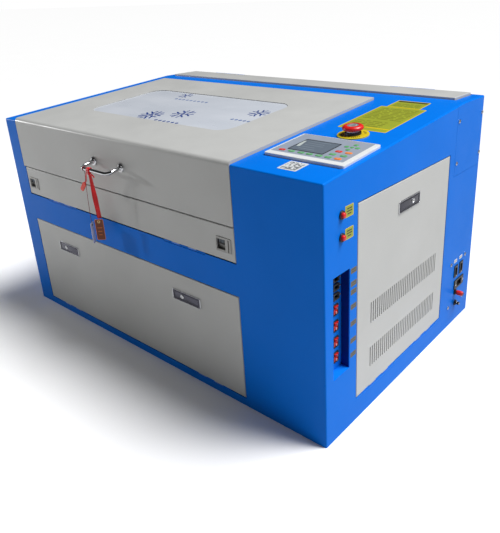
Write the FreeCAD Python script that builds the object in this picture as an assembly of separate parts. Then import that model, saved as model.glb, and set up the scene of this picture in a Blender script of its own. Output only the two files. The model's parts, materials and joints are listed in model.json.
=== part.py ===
import FreeCAD, Part
import math
import os

os.makedirs("parts", exist_ok=True)

# Desktop CO2 laser engraver with a 500 x 300 mm bed. Millimetres, +Z up, front face towards -Y.
# Everything is laid out in cabinet coordinates: x from the left face, y from the front face,
# z from the floor. save() moves it to the row frame, with the origin under the box's centre.

# ---- driving dimensions ----------------------------------------------------------------------
WIDTH = 980.0
DEPTH = 620.0
FRONT_H = 501.0          # height of the deck at its front edge
TOP_H = 547.0            # height of the level strip at the rear
BREAK_Y = 516.0          # where the sloped deck turns level
SHEET = 2.0              # sheet metal thickness
LIP = 4.0                # width of the bent lip of the side panels
EDGE_R = 3.0             # bend radius of the outer edges
GAP = 2.0                # seam round a door

BARB_REACH = 22.0        # hose barb beyond the right side
HANDLE_REACH = 34.0      # handle bar centre in front of the lid
HANDLE_R = 4.0
COLLAR_REACH = HANDLE_REACH + HANDLE_R   # exhaust collar behind the rear panel

LID_X = (49.0, 782.0)
LID_Z = 386.5            # lower edge of the lid's front
LID_REAR = 468.0
LID_PROUD = 5.0          # lid above the deck
LID_BEND = 9.0
LID_FLANGE = 20.0
LID_OPEN_X = (47.5, 783.5)
WINDOW = (165.0, 643.0, 128.0, 353.0)
WINDOW_R = 36.0

FLAP_X = (56.0, 782.0)
FLAP_Z = (316.0, 384.0)
DOOR_X = (59.0, 782.0)
DOOR_Z = (19.6, 246.0)
SIDE_Y = (98.0, 454.0)
SIDE_Z = (50.0, 442.0)
DOOR_DEEP = 14.0         # flange depth of every door pan
COVER = (29.0, 950.0, 526.0, 612.0)      # rear cover, x and y
COVER_PROUD = 5.0
COVER_FLANGE = 15.0

PARTITION_X = 786.0      # wall between work chamber and electronics bay
BAY_Y = 480.0            # front wall of the laser tube bay
BAY_Z = 387.0            # floor of the laser tube bay

PIN_R = 1.2              # hinges
KNUCKLE_R = 2.2
PIN_FIT = 0.06
HINGE_EDGE = 2.6         # hinge axis to the panel's edge
HINGE_FACE = 2.4         # hinge axis to the panel's face
HINGE_LONG = 120.0
HINGE_KNUCKLES = 5
HINGE_SEAM = 2.2         # gap below a hinged edge, between its hinges
LID_HINGES = (210.0, 741.0)
COVER_HINGES = (240.0, 860.0)
FLAP_HINGES = (140.0, 580.0)
DOOR_HINGES = (100.0, 620.0)
SIDE_HINGES = (120.0, 312.0)

PIVOT_FIT = 0.06
CLEAR = 0.3

V = FreeCAD.Vector
X, Y, Z = V(1, 0, 0), V(0, 1, 0), V(0, 0, 1)
SLOPE = (TOP_H - FRONT_H) / BREAK_Y
SLOPE_DEG = math.degrees(math.atan(SLOPE))
ORIGIN = V(-(WIDTH + BARB_REACH) / 2, -DEPTH / 2, 0)


# ---- helpers ---------------------------------------------------------------------------------
def save(name, *solids):
    """Write one node: each solid stays a closed solid of its own."""
    body = solids[0] if len(solids) == 1 else Part.Compound(list(solids))
    body = body.copy()
    body.translate(ORIGIN)
    body.exportStep("parts/%s.step" % name)


def box(x0, x1, y0, y1, z0, z1):
    return Part.makeBox(x1 - x0, y1 - y0, z1 - z0, V(x0, y0, z0))


def rod(base, axis, radius, length):
    return Part.makeCylinder(radius, length, base, axis)


def tube(base, axis, outer, inner, length):
    return rod(base, axis, outer, length).cut(rod(base - axis * 1, axis, inner, length + 2))


def slab(points, x0, x1):
    """A prism along X from (y, z) points."""
    wire = Part.makePolygon([V(x0, y, z) for y, z in points + points[:1]])
    return Part.Face(wire).extrude(V(x1 - x0, 0, 0))


def rounded_plate(x0, x1, y0, y1, z0, z1, radius):
    """A plate in the XY plane with rounded corners."""
    plate = box(x0, x1, y0, y1, z0, z1)
    upright = [e for e in plate.Edges if abs(e.tangentAt(e.FirstParameter).z) > 0.9]
    return plate.makeFillet(radius, upright)


def place(shape, origin, x_dir, y_dir, z_dir):
    """Move a shape from local axes to the given world directions."""
    m = FreeCAD.Matrix(x_dir.x, y_dir.x, z_dir.x, origin.x,
                       x_dir.y, y_dir.y, z_dir.y, origin.y,
                       x_dir.z, y_dir.z, z_dir.z, origin.z,
                       0, 0, 0, 1)
    moved = shape.copy()
    moved.transformShape(m)
    return moved


def deck_z(y):
    return FRONT_H + SLOPE * min(y, BREAK_Y)


DECK_Y = V(0, math.cos(math.radians(SLOPE_DEG)), math.sin(math.radians(SLOPE_DEG)))
DECK_N = V(0, -DECK_Y.z, DECK_Y.y)


def on_deck(shape, x, y, above=0.0):
    """Stand a shape on the sloped deck at plan position x, y."""
    return place(shape, V(x, y, deck_z(y)) + DECK_N * above, X, DECK_Y, DECK_N)


def on_side(shape, y, z, out=0.0):
    """Local X along +Y, local Y up, local Z out of the right side."""
    return place(shape, V(WIDTH + out, y, z), Y, Z, X)


def on_front(shape, x, z, out=0.0):
    """Local X along +X, local Y up, local Z out of the front face."""
    return place(shape, V(x, -out, z), X, Z, V(0, -1, 0))


def hinge_parts(length, count, leaf=(-2.0, 0.4), leaf_long=12.0):
    """Local hinge: axis along +X from 0, panel at +Y, face towards +Z.

    Returns the fixed knuckles with their pin and leaf, and the panel's knuckles.
    """
    pitch = length / count
    fixed = rod(V(0, 0, 0), X, PIN_R, length)
    moving = None
    for k in range(count):
        start = k * pitch + CLEAR / 2
        run = pitch - CLEAR
        knuckle = rod(V(start, 0, 0), X, KNUCKLE_R, run)
        if k % 2 == 0:
            web = box(start, start + run, -leaf_long, 0, leaf[0], leaf[1])
            fixed = fixed.fuse(knuckle).fuse(web)
        else:
            bore = rod(V(start - 1, 0, 0), X, PIN_R + PIN_FIT, run + 2)
            web = box(start, start + run, 0.2, HINGE_EDGE + 0.4, 0.5, HINGE_FACE)
            piece = knuckle.fuse(web).cut(bore)
            moving = piece if moving is None else moving.fuse(piece)
    return fixed, moving


def pan(bounds, open_side, radius=1.5):
    """A sheet tray with bent edges round its face, hollowed from the open side."""
    axis, towards = {"+y": (1, 1), "-x": (0, -1), "-z": (2, -1)}[open_side]
    face_at = bounds[2 * axis + (0 if towards > 0 else 1)]
    tray = box(*bounds)
    tray = rounded(tray, radius, lambda e: abs(e.CenterOfMass[axis] - face_at) < 0.1)
    hollow = [b + (SHEET if k % 2 == 0 else -SHEET) for k, b in enumerate(bounds)]
    hollow[2 * axis + (1 if towards > 0 else 0)] += 9 * towards
    return tray.cut(box(*hollow))


def rounded(shape, radius, pick):
    return shape.makeFillet(radius, [e for e in shape.Edges if pick(e)])


# ---- cabinet shell: one bent skin, split into its panels -------------------------------------
def cabinet_skin():
    outer = slab([(0, 0), (DEPTH, 0), (DEPTH, TOP_H), (BREAK_Y, TOP_H), (0, FRONT_H)], 0, WIDTH)
    crease = V(0, BREAK_Y, TOP_H)

    def is_bend(edge):
        middle = edge.CenterOfMass
        on_floor = middle.z < 0.1
        at_crease = abs(middle.y - crease.y) < 0.1 and abs(middle.z - crease.z) < 0.1
        return not on_floor and not at_crease

    outer = rounded(outer, EDGE_R, is_bend)
    drop = SHEET / math.cos(math.radians(SLOPE_DEG))
    inner_break = (TOP_H - SHEET - FRONT_H + drop) / SLOPE
    front_top = FRONT_H + SLOPE * SHEET - drop
    inner = slab([(SHEET, SHEET), (DEPTH - SHEET, SHEET), (DEPTH - SHEET, TOP_H - SHEET),
                  (inner_break, TOP_H - SHEET), (SHEET, front_top)], SHEET, WIDTH - SHEET)
    return outer.cut(inner)


skin = cabinet_skin()
left = skin.common(box(-1, LIP, -1, DEPTH + 1, -1, TOP_H + 1))
right = skin.common(box(WIDTH - LIP, WIDTH + 1, -1, DEPTH + 1, -1, TOP_H + 1))
middle = skin.common(box(LIP, WIDTH - LIP, -1, DEPTH + 1, -1, TOP_H + 1))
front = middle.common(box(0, WIDTH, -1, LIP, -1, TOP_H + 1))
rear = middle.common(box(0, WIDTH, DEPTH - LIP, DEPTH + 1, -1, TOP_H + 1))
between = middle.common(box(0, WIDTH, LIP, DEPTH - LIP, -1, TOP_H + 1))
base = between.common(box(0, WIDTH, 0, DEPTH, -1, 100))
deck = between.common(box(0, WIDTH, 0, DEPTH, 100, TOP_H + 1))

# openings of the front: lid and flap share one, the lower door has its own
SLOT = HINGE_EDGE + HINGE_FACE
lid_gate = box(LID_OPEN_X[0], LID_OPEN_X[1], -1, LID_REAR + 1.5, FLAP_Z[0] - HINGE_SEAM, TOP_H + 9)
door_gate = box(DOOR_X[0] - GAP, DOOR_X[1] + GAP, -1, 9, DOOR_Z[0] - HINGE_SEAM, DOOR_Z[1] + GAP)
flap_jamb = box(LID_OPEN_X[0], FLAP_X[0] - GAP, 0, SHEET, FLAP_Z[0] - HINGE_SEAM, FLAP_Z[1] + 1)
front = front.cut(lid_gate).cut(door_gate).fuse(flap_jamb).removeSplitter()
for starts, edge_z in ((FLAP_HINGES, FLAP_Z[0]), (DOOR_HINGES, DOOR_Z[0])):
    for start in starts:
        front = front.cut(box(start - CLEAR, start + HINGE_LONG + CLEAR, -1, 9, edge_z - SLOT, edge_z))
deck = deck.cut(lid_gate)
deck = deck.cut(box(COVER[0] - 3, COVER[1] + 3, COVER[2] - GAP, COVER[3] + GAP, TOP_H - 9, TOP_H + 9))

# ---- things on the right side ----------------------------------------------------------------
RECESS_Y = (24.0, 73.5)
RECESS_Z = (133.0, 333.0)
RECESS_DEEP = 18.0
END_COVER_Z = BAY_Z + 2.0
PLATE_Y = (492.0, 590.0)
PLATE_Z = (42.0, 176.0)
SIDE_GATE = (SIDE_Y[0] - GAP, SIDE_Y[1] + GAP, SIDE_Z[0] - HINGE_SEAM, SIDE_Z[1] + GAP)
BUTTON_Y = 49.0
BUTTON_Z = {"upper": 437.0, "lower": 398.0}
BUTTON_R = 4.8
BEZEL_R = 7.4
BEZEL_WALL = 1.5         # bezel's rim beyond its barrel
BUTTON_LABEL = (71.0, 24.0, 20.0)        # y, width and height

right = right.cut(box(WIDTH - 9, WIDTH + 9, SIDE_GATE[0], SIDE_GATE[1], SIDE_GATE[2], SIDE_GATE[3]))
for start in SIDE_HINGES:
    right = right.cut(box(WIDTH - 9, WIDTH + 9, start - CLEAR, start + HINGE_LONG + CLEAR,
                          SIDE_Z[0] - SLOT, SIDE_Z[0]))
right = right.cut(box(WIDTH - 9, WIDTH + 9, RECESS_Y[0], RECESS_Y[1], RECESS_Z[0], RECESS_Z[1]))
right = right.cut(box(WIDTH - 9, WIDTH + 9, PLATE_Y[0], PLATE_Y[1], PLATE_Z[0], PLATE_Z[1]))
for button_z in BUTTON_Z.values():
    right = right.cut(rod(V(WIDTH - 9, BUTTON_Y, button_z), X, BEZEL_R - BEZEL_WALL, 18))
end_zone = box(WIDTH - 9, WIDTH + 9, BAY_Y + 0.6, DEPTH + 9, END_COVER_Z + 0.6, TOP_H + 9)
end_cut = box(WIDTH - 9, WIDTH + 9, BAY_Y, DEPTH + 9, END_COVER_Z, TOP_H + 9)
end_cover = right.common(end_zone)
right = right.cut(end_cut)

# ---- rear panel with the exhaust opening -----------------------------------------------------
DUCT_X = 420.0
DUCT_Z = 250.0
DUCT_R = 75.0
DUCT_WALL = 1.5
rear = rear.cut(rod(V(DUCT_X, DEPTH - 9, DUCT_Z), Y, DUCT_R + 0.5, 18))
flange = rod(V(DUCT_X, DEPTH, DUCT_Z), Y, DUCT_R + 15, DUCT_WALL)
collar = rod(V(DUCT_X, DEPTH, DUCT_Z), Y, DUCT_R, COLLAR_REACH).fuse(flange)
collar = collar.cut(rod(V(DUCT_X, DEPTH - 1, DUCT_Z), Y, DUCT_R - DUCT_WALL, COLLAR_REACH + 2))

# ---- control panel, stop switch and their holes in the deck ----------------------------------
PANEL = (804.0, 971.0, 66.0, 183.0)
PANEL_H = 5.0
FACE = (806.5, 961.0, 80.0, 181.0)
FACE_SINK = 0.4
FACE_T = 0.4             # printed sheet over the keyboard
FACE_RIM = 4.0           # sheet beyond the keyboard's body
FACE_FIT = 0.2
DISPLAY = (832.0, 906.0, 100.0, 156.0)
STOP_X = 886.0
STOP_Y = 224.5
NECK_R = 14.5
NECK_TOP = 6.3
STOP_TRAVEL = 4.5

stop_hole = on_deck(rod(V(0, 0, -20), Z, 11.0, 40), STOP_X, STOP_Y)
FACE_MID = ((FACE[0] + FACE[1]) / 2, (FACE[2] + FACE[3]) / 2)
FACE_HALF = ((FACE[1] - FACE[0]) / 2, (FACE[3] - FACE[2]) / 2)
panel_hole = on_deck(box(-FACE_HALF[0] + 3, FACE_HALF[0] - 3, -FACE_HALF[1] + 3, FACE_HALF[1] - 3, -9, 9),
                     FACE_MID[0], FACE_MID[1])
deck = deck.cut(stop_hole).cut(panel_hole)

save("left_side_panel", left)
save("right_side_panel", right)
save("front_frame", front)
save("rear_panel", rear)
save("base_pan", base)
save("top_deck", deck)
save("exhaust_collar", collar)

# ---- inner walls -----------------------------------------------------------------------------
BEAM_X = 115.0           # the fixed mirror turns the beam forward along this line
BEAM_Z = 470.0
wall_top = deck_z(LIP) - 3.0
partition = slab([(LIP, SHEET), (DEPTH - SHEET, SHEET), (DEPTH - SHEET, BAY_Z - SHEET),
                  (BAY_Y - CLEAR, BAY_Z - SHEET), (BAY_Y - CLEAR, deck_z(BAY_Y) - 3.0),
                  (LIP, wall_top)], PARTITION_X, PARTITION_X + SHEET)
bulkhead_wall = box(LIP, WIDTH - LIP, BAY_Y, BAY_Y + SHEET, BAY_Z - SHEET, deck_z(BAY_Y) - 2.5)
bulkhead_floor = box(LIP, WIDTH - LIP, BAY_Y, DEPTH - LIP, BAY_Z - SHEET, BAY_Z)
bulkhead = bulkhead_wall.fuse(bulkhead_floor)
bulkhead = bulkhead.cut(rod(V(BEAM_X, BAY_Y - 5, BEAM_Z), Y, 10, 15)).removeSplitter()
save("inner_walls", partition, bulkhead)

# ---- lid: bent sheet with side, rear and front flanges ---------------------------------------
def lid_profile(inset):
    """(y, z) outline of the lid's outer skin, moved inwards by inset."""
    lift = (LID_PROUD - inset) / math.cos(math.radians(SLOPE_DEG))
    y_front = inset
    y_rear = LID_REAR - inset
    corner = (y_front, FRONT_H + SLOPE * y_front + lift)
    rear_top = (y_rear, FRONT_H + SLOPE * y_rear + lift)
    return y_front, y_rear, corner, rear_top


def lid_block(inset, x0, x1, depth, inner_y, bottom, bend):
    """The L-shaped block between the lid's skin, moved in by inset, and a surface depth below."""
    y_front, y_rear, corner, rear_top = lid_profile(inset)
    elbow_z = corner[1] - depth + SLOPE * (inner_y - y_front)
    points = [(y_front, bottom), corner, rear_top, (y_rear, rear_top[1] - depth),
              (inner_y, elbow_z), (inner_y, bottom)]

    def is_bend(edge):
        centre = edge.CenterOfMass
        along_x = abs(edge.tangentAt(edge.FirstParameter).x) > 0.9
        return along_x and centre.y < y_front + 1 and centre.z > corner[1] - 1

    return rounded(slab(points, x0, x1), bend, is_bend)


lid = lid_block(0, LID_X[0], LID_X[1], LID_FLANGE, LID_FLANGE, LID_Z, LID_BEND)
lid = lid.cut(lid_block(SHEET, LID_X[0] + SHEET, LID_X[1] - SHEET, LID_FLANGE + 30,
                        LID_FLANGE + 40, LID_Z + SHEET, LID_BEND - SHEET))
window_mid = ((WINDOW[0] + WINDOW[1]) / 2, (WINDOW[2] + WINDOW[3]) / 2)
window_half = ((WINDOW[1] - WINDOW[0]) / 2, (WINDOW[3] - WINDOW[2]) / 2)
window_cut = rounded_plate(-window_half[0], window_half[0], -window_half[1], window_half[1],
                           -20, 20, WINDOW_R)
lid = lid.cut(on_deck(window_cut, window_mid[0], window_mid[1], LID_PROUD))
GLAZING_EDGE = 12.0
GLAZING_T = 4.0
glazing = rounded_plate(-window_half[0] - GLAZING_EDGE, window_half[0] + GLAZING_EDGE,
                        -window_half[1] - GLAZING_EDGE, window_half[1] + GLAZING_EDGE,
                        -SHEET - GLAZING_T, -SHEET, WINDOW_R)
glazing = on_deck(glazing, window_mid[0], window_mid[1], LID_PROUD)
save("lid_window", glazing)

# ---- hinges ----------------------------------------------------------------------------------
fixed_hinges = []


def add_hinges(panel, starts, origin_at, x_dir, y_dir, z_dir, leaf=(-2.0, 0.4), leaf_long=12.0):
    """Fuse the moving knuckles to the panel and keep the fixed ones for their own node."""
    for start in starts:
        fixed, moving = hinge_parts(HINGE_LONG, HINGE_KNUCKLES, leaf, leaf_long)
        fixed_hinges.append(place(fixed, origin_at(start), x_dir, y_dir, z_dir))
        panel = panel.fuse(place(moving, origin_at(start), x_dir, y_dir, z_dir))
    return panel.removeSplitter()


LID_HINGE_Y = LID_REAR + HINGE_EDGE
lid_axis = V(0, LID_HINGE_Y, deck_z(LID_HINGE_Y)) + DECK_N * (LID_PROUD - HINGE_FACE)
PROUD_LEAF = (HINGE_FACE - LID_PROUD, HINGE_FACE - LID_PROUD + 1.6)
lid = add_hinges(lid, LID_HINGES, lambda x: V(x, lid_axis.y, lid_axis.z), X * -1, DECK_Y * -1,
                 DECK_N, PROUD_LEAF, 14.0)
save("lid_panel", lid)

# ---- handle with its round feet --------------------------------------------------------------
HANDLE_X = (371.0, 467.0)
HANDLE_Z = 447.0
HANDLE_DROP = 7.0
HANDLE_BEND = 12.0


def handle_bar():
    """A wire bent to a U that droops a little, swept along its centre line."""
    reach = math.hypot(HANDLE_REACH, HANDLE_DROP)
    span = HANDLE_X[1] - HANDLE_X[0]
    r = HANDLE_BEND
    far = span - r
    low = reach - r
    side = r * math.sqrt(0.5)
    first_bend = Part.Arc(V(0, 0, low), V(r - side, 0, low + side), V(r, 0, reach))
    second_bend = Part.Arc(V(far, 0, reach), V(far + side, 0, low + side), V(span, 0, low))
    path = Part.Wire([
        Part.LineSegment(V(0, 0, 0), V(0, 0, low)).toShape(),
        first_bend.toShape(),
        Part.LineSegment(V(r, 0, reach), V(far, 0, reach)).toShape(),
        second_bend.toShape(),
        Part.LineSegment(V(span, 0, low), V(span, 0, 0)).toShape()])
    section = Part.Wire(Part.Circle(V(0, 0, 0), Z, HANDLE_R).toShape())
    bar = path.makePipeShell([section], True, False)
    out = V(0, -HANDLE_REACH, -HANDLE_DROP) * (1 / reach)
    return place(bar, V(HANDLE_X[0], 0, HANDLE_Z), X, out.cross(X), out)


bar = handle_bar()
face_side = box(HANDLE_X[0] - 20, HANDLE_X[1] + 20, -60, 0, HANDLE_Z - 40, HANDLE_Z + 40)
handle = bar.common(face_side)
FOOT_R = 9.0
FOOT_T = 2.5
for foot_x in HANDLE_X:
    handle = handle.fuse(rod(V(foot_x, 0, HANDLE_Z - 0.3), Y * -1, FOOT_R, FOOT_T))
save("lid_handle", handle)

# ---- ribbon, string and tags on the handle ---------------------------------------------------
RIBBON_X = 404.0
RIBBON_T = 1.2
RIBBON_TOP_W = 6.0       # gathered by the knot
RIBBON_LOW_W = 10.5
RIBBON_LEAN = 5.0
RIBBON_TURN = 33.0
RIBBON_END = 333.0
LOOP_GAP = 0.4
LOOP_W = 9.0
BAR_Z = HANDLE_Z - HANDLE_DROP
TAG = (18.0, 47.0, 1.6)
TAG_ABOVE = 5.0          # tag above its eyelet
EYELET_R = 2.5
FOB = (10.0, 22.0, 3.0)
FOB_TOP = V(379.0, -34.0, 407.3)
FOB_AXIS = V(13.0, 2.0, 17.5)    # the fob leans, from its lower end to its strap
STRING_R = 0.5
# the string's route from the handle bar down to the pale tag
STRING = [V(386, -34, 435.2), V(384.5, -36, 398), V(380, -35, 352), V(374, -31.5, 315)]


def hang(shape, x, y, z, turn):
    """Hang a flat tag: local X level, local Y up, turned about the vertical."""
    a = math.radians(turn)
    across = V(math.cos(a), math.sin(a), 0)
    return place(shape, V(x, y, z), across, Z, across.cross(Z))


def cord_tube(points, radius):
    """A tube along straight runs joined by tangent arcs, each as large as its two runs allow."""
    edges = []
    start = points[0]
    for before, corner, after in zip(points, points[1:], points[2:]):
        back = (before - corner).normalize()
        ahead = (after - corner).normalize()
        cut = 0.45 * min((before - corner).Length, (after - corner).Length)
        half_turn = (math.pi - back.getAngle(ahead)) / 2
        arc_r = cut / math.tan(half_turn)
        bisector = (back + ahead).normalize()
        centre = corner + bisector * (arc_r / math.cos(half_turn))
        print("cord arc radius", round(arc_r, 1))
        edges.append(Part.LineSegment(start, corner + back * cut).toShape())
        edges.append(Part.Arc(corner + back * cut, centre - bisector * arc_r,
                              corner + ahead * cut).toShape())
        start = corner + ahead * cut
    edges.append(Part.LineSegment(start, points[-1]).toShape())
    section = Part.Wire(Part.Circle(points[0], points[1] - points[0], radius).toShape())
    return Part.Wire(edges).makePipeShell([section], True, False)


loop = tube(V(RIBBON_X - LOOP_W / 2, -HANDLE_REACH, BAR_Z), X, HANDLE_R + LOOP_GAP + RIBBON_T,
            HANDLE_R + LOOP_GAP, LOOP_W)
tail_top = BAR_Z - HANDLE_R - LOOP_GAP - RIBBON_T / 2
tail_long = tail_top - RIBBON_END
tail_wire = Part.makePolygon([
    V(-RIBBON_TOP_W / 2, 0, 0),
    V(RIBBON_LEAN - RIBBON_LOW_W / 2, -tail_long, 0),
    V(RIBBON_LEAN + RIBBON_LOW_W / 2, -tail_long, 0),
    V(RIBBON_TOP_W / 2, 0, 0),
    V(-RIBBON_TOP_W / 2, 0, 0)])
tail = Part.Face(tail_wire).extrude(V(0, 0, RIBBON_T))
tail = hang(tail, RIBBON_X, -HANDLE_REACH, tail_top, RIBBON_TURN)
save("key_ribbon", loop.fuse(tail), cord_tube(STRING, STRING_R))

tag = rounded_plate(-TAG[0] / 2, TAG[0] / 2, TAG_ABOVE - TAG[1], TAG_ABOVE, -TAG[2] / 2, TAG[2] / 2, 2.0)
tag = tag.cut(rod(V(0, 0, -5), Z, EYELET_R, 10))
brown_tag = hang(tag, 411.5, -36.0, 327.0, 38)
pale_tag = hang(tag, 373.5, -31.0, STRING[-1].z - TAG_ABOVE - CLEAR, -50)
fob_up = V(FOB_AXIS.x, FOB_AXIS.y, FOB_AXIS.z).normalize()
fob_across = fob_up.cross(Y).normalize()
fob = rounded_plate(-FOB[0] / 2, FOB[0] / 2, -FOB[1], 0, -FOB[2] / 2, FOB[2] / 2, 3.0)
fob = place(fob, FOB_TOP, fob_across, fob_up, fob_across.cross(fob_up))
save("hang_tags", brown_tag, pale_tag, fob)

# ---- gas struts: cylinder low on the rail beam, rod end beside the lid flange ----------------
STRUT_X = (58.0, 771.0)
STRUT_FOOT = V(0, 420.0, 414.0)
STRUT_HEAD = V(0, 250.0, 505.0)
STRUT_R = 6.0
STRUT_ROD_R = 3.0
strut_dir = (STRUT_HEAD - STRUT_FOOT).normalize()
strut_len = (STRUT_HEAD - STRUT_FOOT).Length
EYE_R = 6.0
EYE_PIN_R = 3.0
CYL_LEN = strut_len - 18.0
cylinders = []
rods = []
studs = []
for strut_x in STRUT_X:
    at = V(strut_x, STRUT_FOOT.y, STRUT_FOOT.z)
    eye = rod(at - X * 5, X, EYE_R, 10)
    cyl = rod(at, strut_dir, STRUT_R, CYL_LEN).fuse(eye)
    cyl = cyl.cut(rod(at - X * 9, X, EYE_PIN_R + PIVOT_FIT, 18))
    cyl = cyl.cut(rod(at + strut_dir * 12, strut_dir, STRUT_ROD_R + PIVOT_FIT, CYL_LEN))
    cylinders.append(cyl)
    head = V(strut_x, STRUT_HEAD.y, STRUT_HEAD.z)
    rod_len = strut_len - 16
    slider = rod(head - strut_dir * rod_len, strut_dir, STRUT_ROD_R, rod_len)
    slider = slider.fuse(rod(head - X * 4, X, EYE_R, 8)).cut(rod(head - X * 9, X, 2.5, 18))
    rods.append(slider)
    side = 1 if strut_x < WIDTH / 2 else -1
    stud_start = at - X * (5 * side)
    studs.append(rod(stud_start, X * side, EYE_PIN_R, 17.0))
save("strut_cylinders", *cylinders)
save("strut_rods", *rods)

# ---- Y rails on their support beams ----------------------------------------------------------
RAIL_X = (84.0, 748.0)
RAIL_Y = (30.0, BAY_Y)
SUPPORT = (70.0, 98.0)
SUPPORT_Z = (408.0, 420.0)
RAIL_TOP = 430.0
rails = []
for k, rail_x in enumerate(RAIL_X):
    half = (SUPPORT[1] - SUPPORT[0]) / 2
    beam = box(rail_x - half, rail_x + half, RAIL_Y[0], RAIL_Y[1], SUPPORT_Z[0], SUPPORT_Z[1])
    wall = box(SHEET, rail_x - half, RAIL_Y[0], RAIL_Y[0] + 12, SUPPORT_Z[0], SUPPORT_Z[1])
    if rail_x > WIDTH / 2:
        wall = box(rail_x + half, PARTITION_X, RAIL_Y[0], RAIL_Y[0] + 12, SUPPORT_Z[0], SUPPORT_Z[1])
    rail = box(rail_x - 6, rail_x + 6, RAIL_Y[0], RAIL_Y[1], SUPPORT_Z[1], RAIL_TOP)
    rails.append(beam.fuse(wall).fuse(rail).fuse(studs[k]))
save("side_rails", *rails)

# ---- gantry: beam, end trucks, motor and mirror ----------------------------------------------
HEAD_Y = 370.0           # the lens axis at rest, parked at the rear
BEAM_Y = (HEAD_Y + 25, HEAD_Y + 45)
BEAM_SPAN = (98.0, 734.0)
BEAM_LOW = 440.0
BEAM_HIGH = 480.0
XRAIL_Z = (454.0, 466.0)
beam = box(BEAM_SPAN[0], BEAM_SPAN[1], BEAM_Y[0], BEAM_Y[1], BEAM_LOW, BEAM_HIGH)
x_rail = box(BEAM_SPAN[0] + 20, BEAM_SPAN[1] - 20, BEAM_Y[0] - 7, BEAM_Y[0], XRAIL_Z[0], XRAIL_Z[1])
trucks = []
for rail_x in RAIL_X:
    block = box(rail_x - 12, rail_x + 12, HEAD_Y + 8, HEAD_Y + 66, SUPPORT_Z[1] + 0.4, BEAM_LOW)
    groove = box(rail_x - 6 - CLEAR, rail_x + 6 + CLEAR, HEAD_Y, HEAD_Y + 90, SUPPORT_Z[1], RAIL_TOP + CLEAR)
    riser = box(rail_x - 12, rail_x + 12, BEAM_Y[0], BEAM_Y[1], BEAM_LOW, BEAM_HIGH).cut(beam)
    trucks.append(block.cut(groove).fuse(riser))
MOTOR = 42.0
motor_x = 668.0
motor = box(motor_x, motor_x + MOTOR, BEAM_Y[1], BEAM_Y[1] + 36, BEAM_LOW + 4, BEAM_LOW + 4 + MOTOR)


def mirror_post(x, y, foot_z, turn):
    """A 45 degree mirror in a round cell on a foot."""
    foot = box(x - 10, x + 10, y - 10, y + 10, foot_z, foot_z + 4)
    stem = box(x - 4, x + 4, y - 4, y + 4, foot_z + 4, BEAM_Z - 6)
    a = math.radians(turn)
    facing = V(math.cos(a), math.sin(a), 0)
    cell = rod(V(x, y, BEAM_Z) - facing * 4, facing, 12, 8)
    return foot.fuse(stem).fuse(cell)


shelf = box(BEAM_X - 14, BEAM_X + 14, HEAD_Y - 14, BEAM_Y[0], BEAM_LOW, BEAM_LOW + 4)
shelf = shelf.fuse(mirror_post(BEAM_X, HEAD_Y, BEAM_LOW + 4, 45))
save("gantry_beam", beam.fuse(x_rail), motor, shelf, *trucks)

# ---- carriage with lens tube and nozzle ------------------------------------------------------
HEAD_X = 625.0
NOZZLE_Z = 385.0
plate = box(HEAD_X - 26, HEAD_X + 26, BEAM_Y[0] - 14, BEAM_Y[0] - 7 - CLEAR,
            BEAM_LOW - 4, BEAM_HIGH + 6)
for z0, z1 in ((XRAIL_Z[0] - 8, XRAIL_Z[0] - CLEAR), (XRAIL_Z[1] + CLEAR, XRAIL_Z[1] + 8)):
    plate = plate.fuse(box(HEAD_X - 26, HEAD_X + 26, BEAM_Y[0] - 8, BEAM_Y[0] - CLEAR, z0, z1))
holder = box(HEAD_X - 13, HEAD_X + 13, HEAD_Y - 13, BEAM_Y[0] - 14, BEAM_Z - 16, BEAM_Z + 16)
holder = holder.cut(rod(V(HEAD_X - 20, HEAD_Y, BEAM_Z), X, 5, 22))
lens = rod(V(HEAD_X, HEAD_Y, NOZZLE_Z + 24), Z, 11, BEAM_Z - 16 - NOZZLE_Z - 24)
nozzle = Part.makeCone(3.0, 9.0, 24, V(HEAD_X, HEAD_Y, NOZZLE_Z), Z)
head = lens.fuse(nozzle).cut(rod(V(HEAD_X, HEAD_Y, NOZZLE_Z - 1), Z, 1.5, 50))
save("carriage_plate", plate, holder)
save("lens_tube", head)

# ---- lifting bed -----------------------------------------------------------------------------
BED_X = (136.0, 714.0)
BED_Y = (26.0, 424.0)
BED_Z = (340.0, 366.0)
SLAT_TOP = 372.0
BED_RIM = 32.0
GUIDE_X = (BED_X[0] + 16, BED_X[1] - 16)
GUIDE_Y = (BED_Y[0] + 16, BED_Y[1] - 16)
SCREW_Y = (BED_Y[0] + BED_Y[1]) / 2
GUIDE_R = 6.0
SCREW_R = 5.0
LIFT_Z = (228.0, 240.0)
bed = box(BED_X[0], BED_X[1], BED_Y[0], BED_Y[1], BED_Z[0], BED_Z[1])
bed = bed.cut(box(BED_X[0] + BED_RIM, BED_X[1] - BED_RIM, BED_Y[0] + BED_RIM, BED_Y[1] - BED_RIM, 300, 400))
for gx in GUIDE_X:
    for gy in GUIDE_Y:
        bed = bed.cut(rod(V(gx, gy, 300), Z, GUIDE_R + PIVOT_FIT, 100))
    bed = bed.cut(rod(V(gx, SCREW_Y, 300), Z, SCREW_R + PIVOT_FIT, 100))
save("bed_frame", bed)
SLATS = 13
slats = []
first = BED_X[0] + BED_RIM + 16
pitch = (BED_X[1] - BED_X[0] - 2 * BED_RIM - 32) / (SLATS - 1)
for k in range(SLATS):
    slat_x = first + k * pitch
    upper = box(slat_x - 1, slat_x + 1, BED_Y[0] + 20, BED_Y[1] - 20, BED_Z[1], SLAT_TOP)
    lower = box(slat_x - 1, slat_x + 1, BED_Y[0] + BED_RIM, BED_Y[1] - BED_RIM, BED_Z[0] + 4, SLAT_TOP)
    slats.append(upper.fuse(lower).removeSplitter())
save("knife_slats", *slats)

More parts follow.
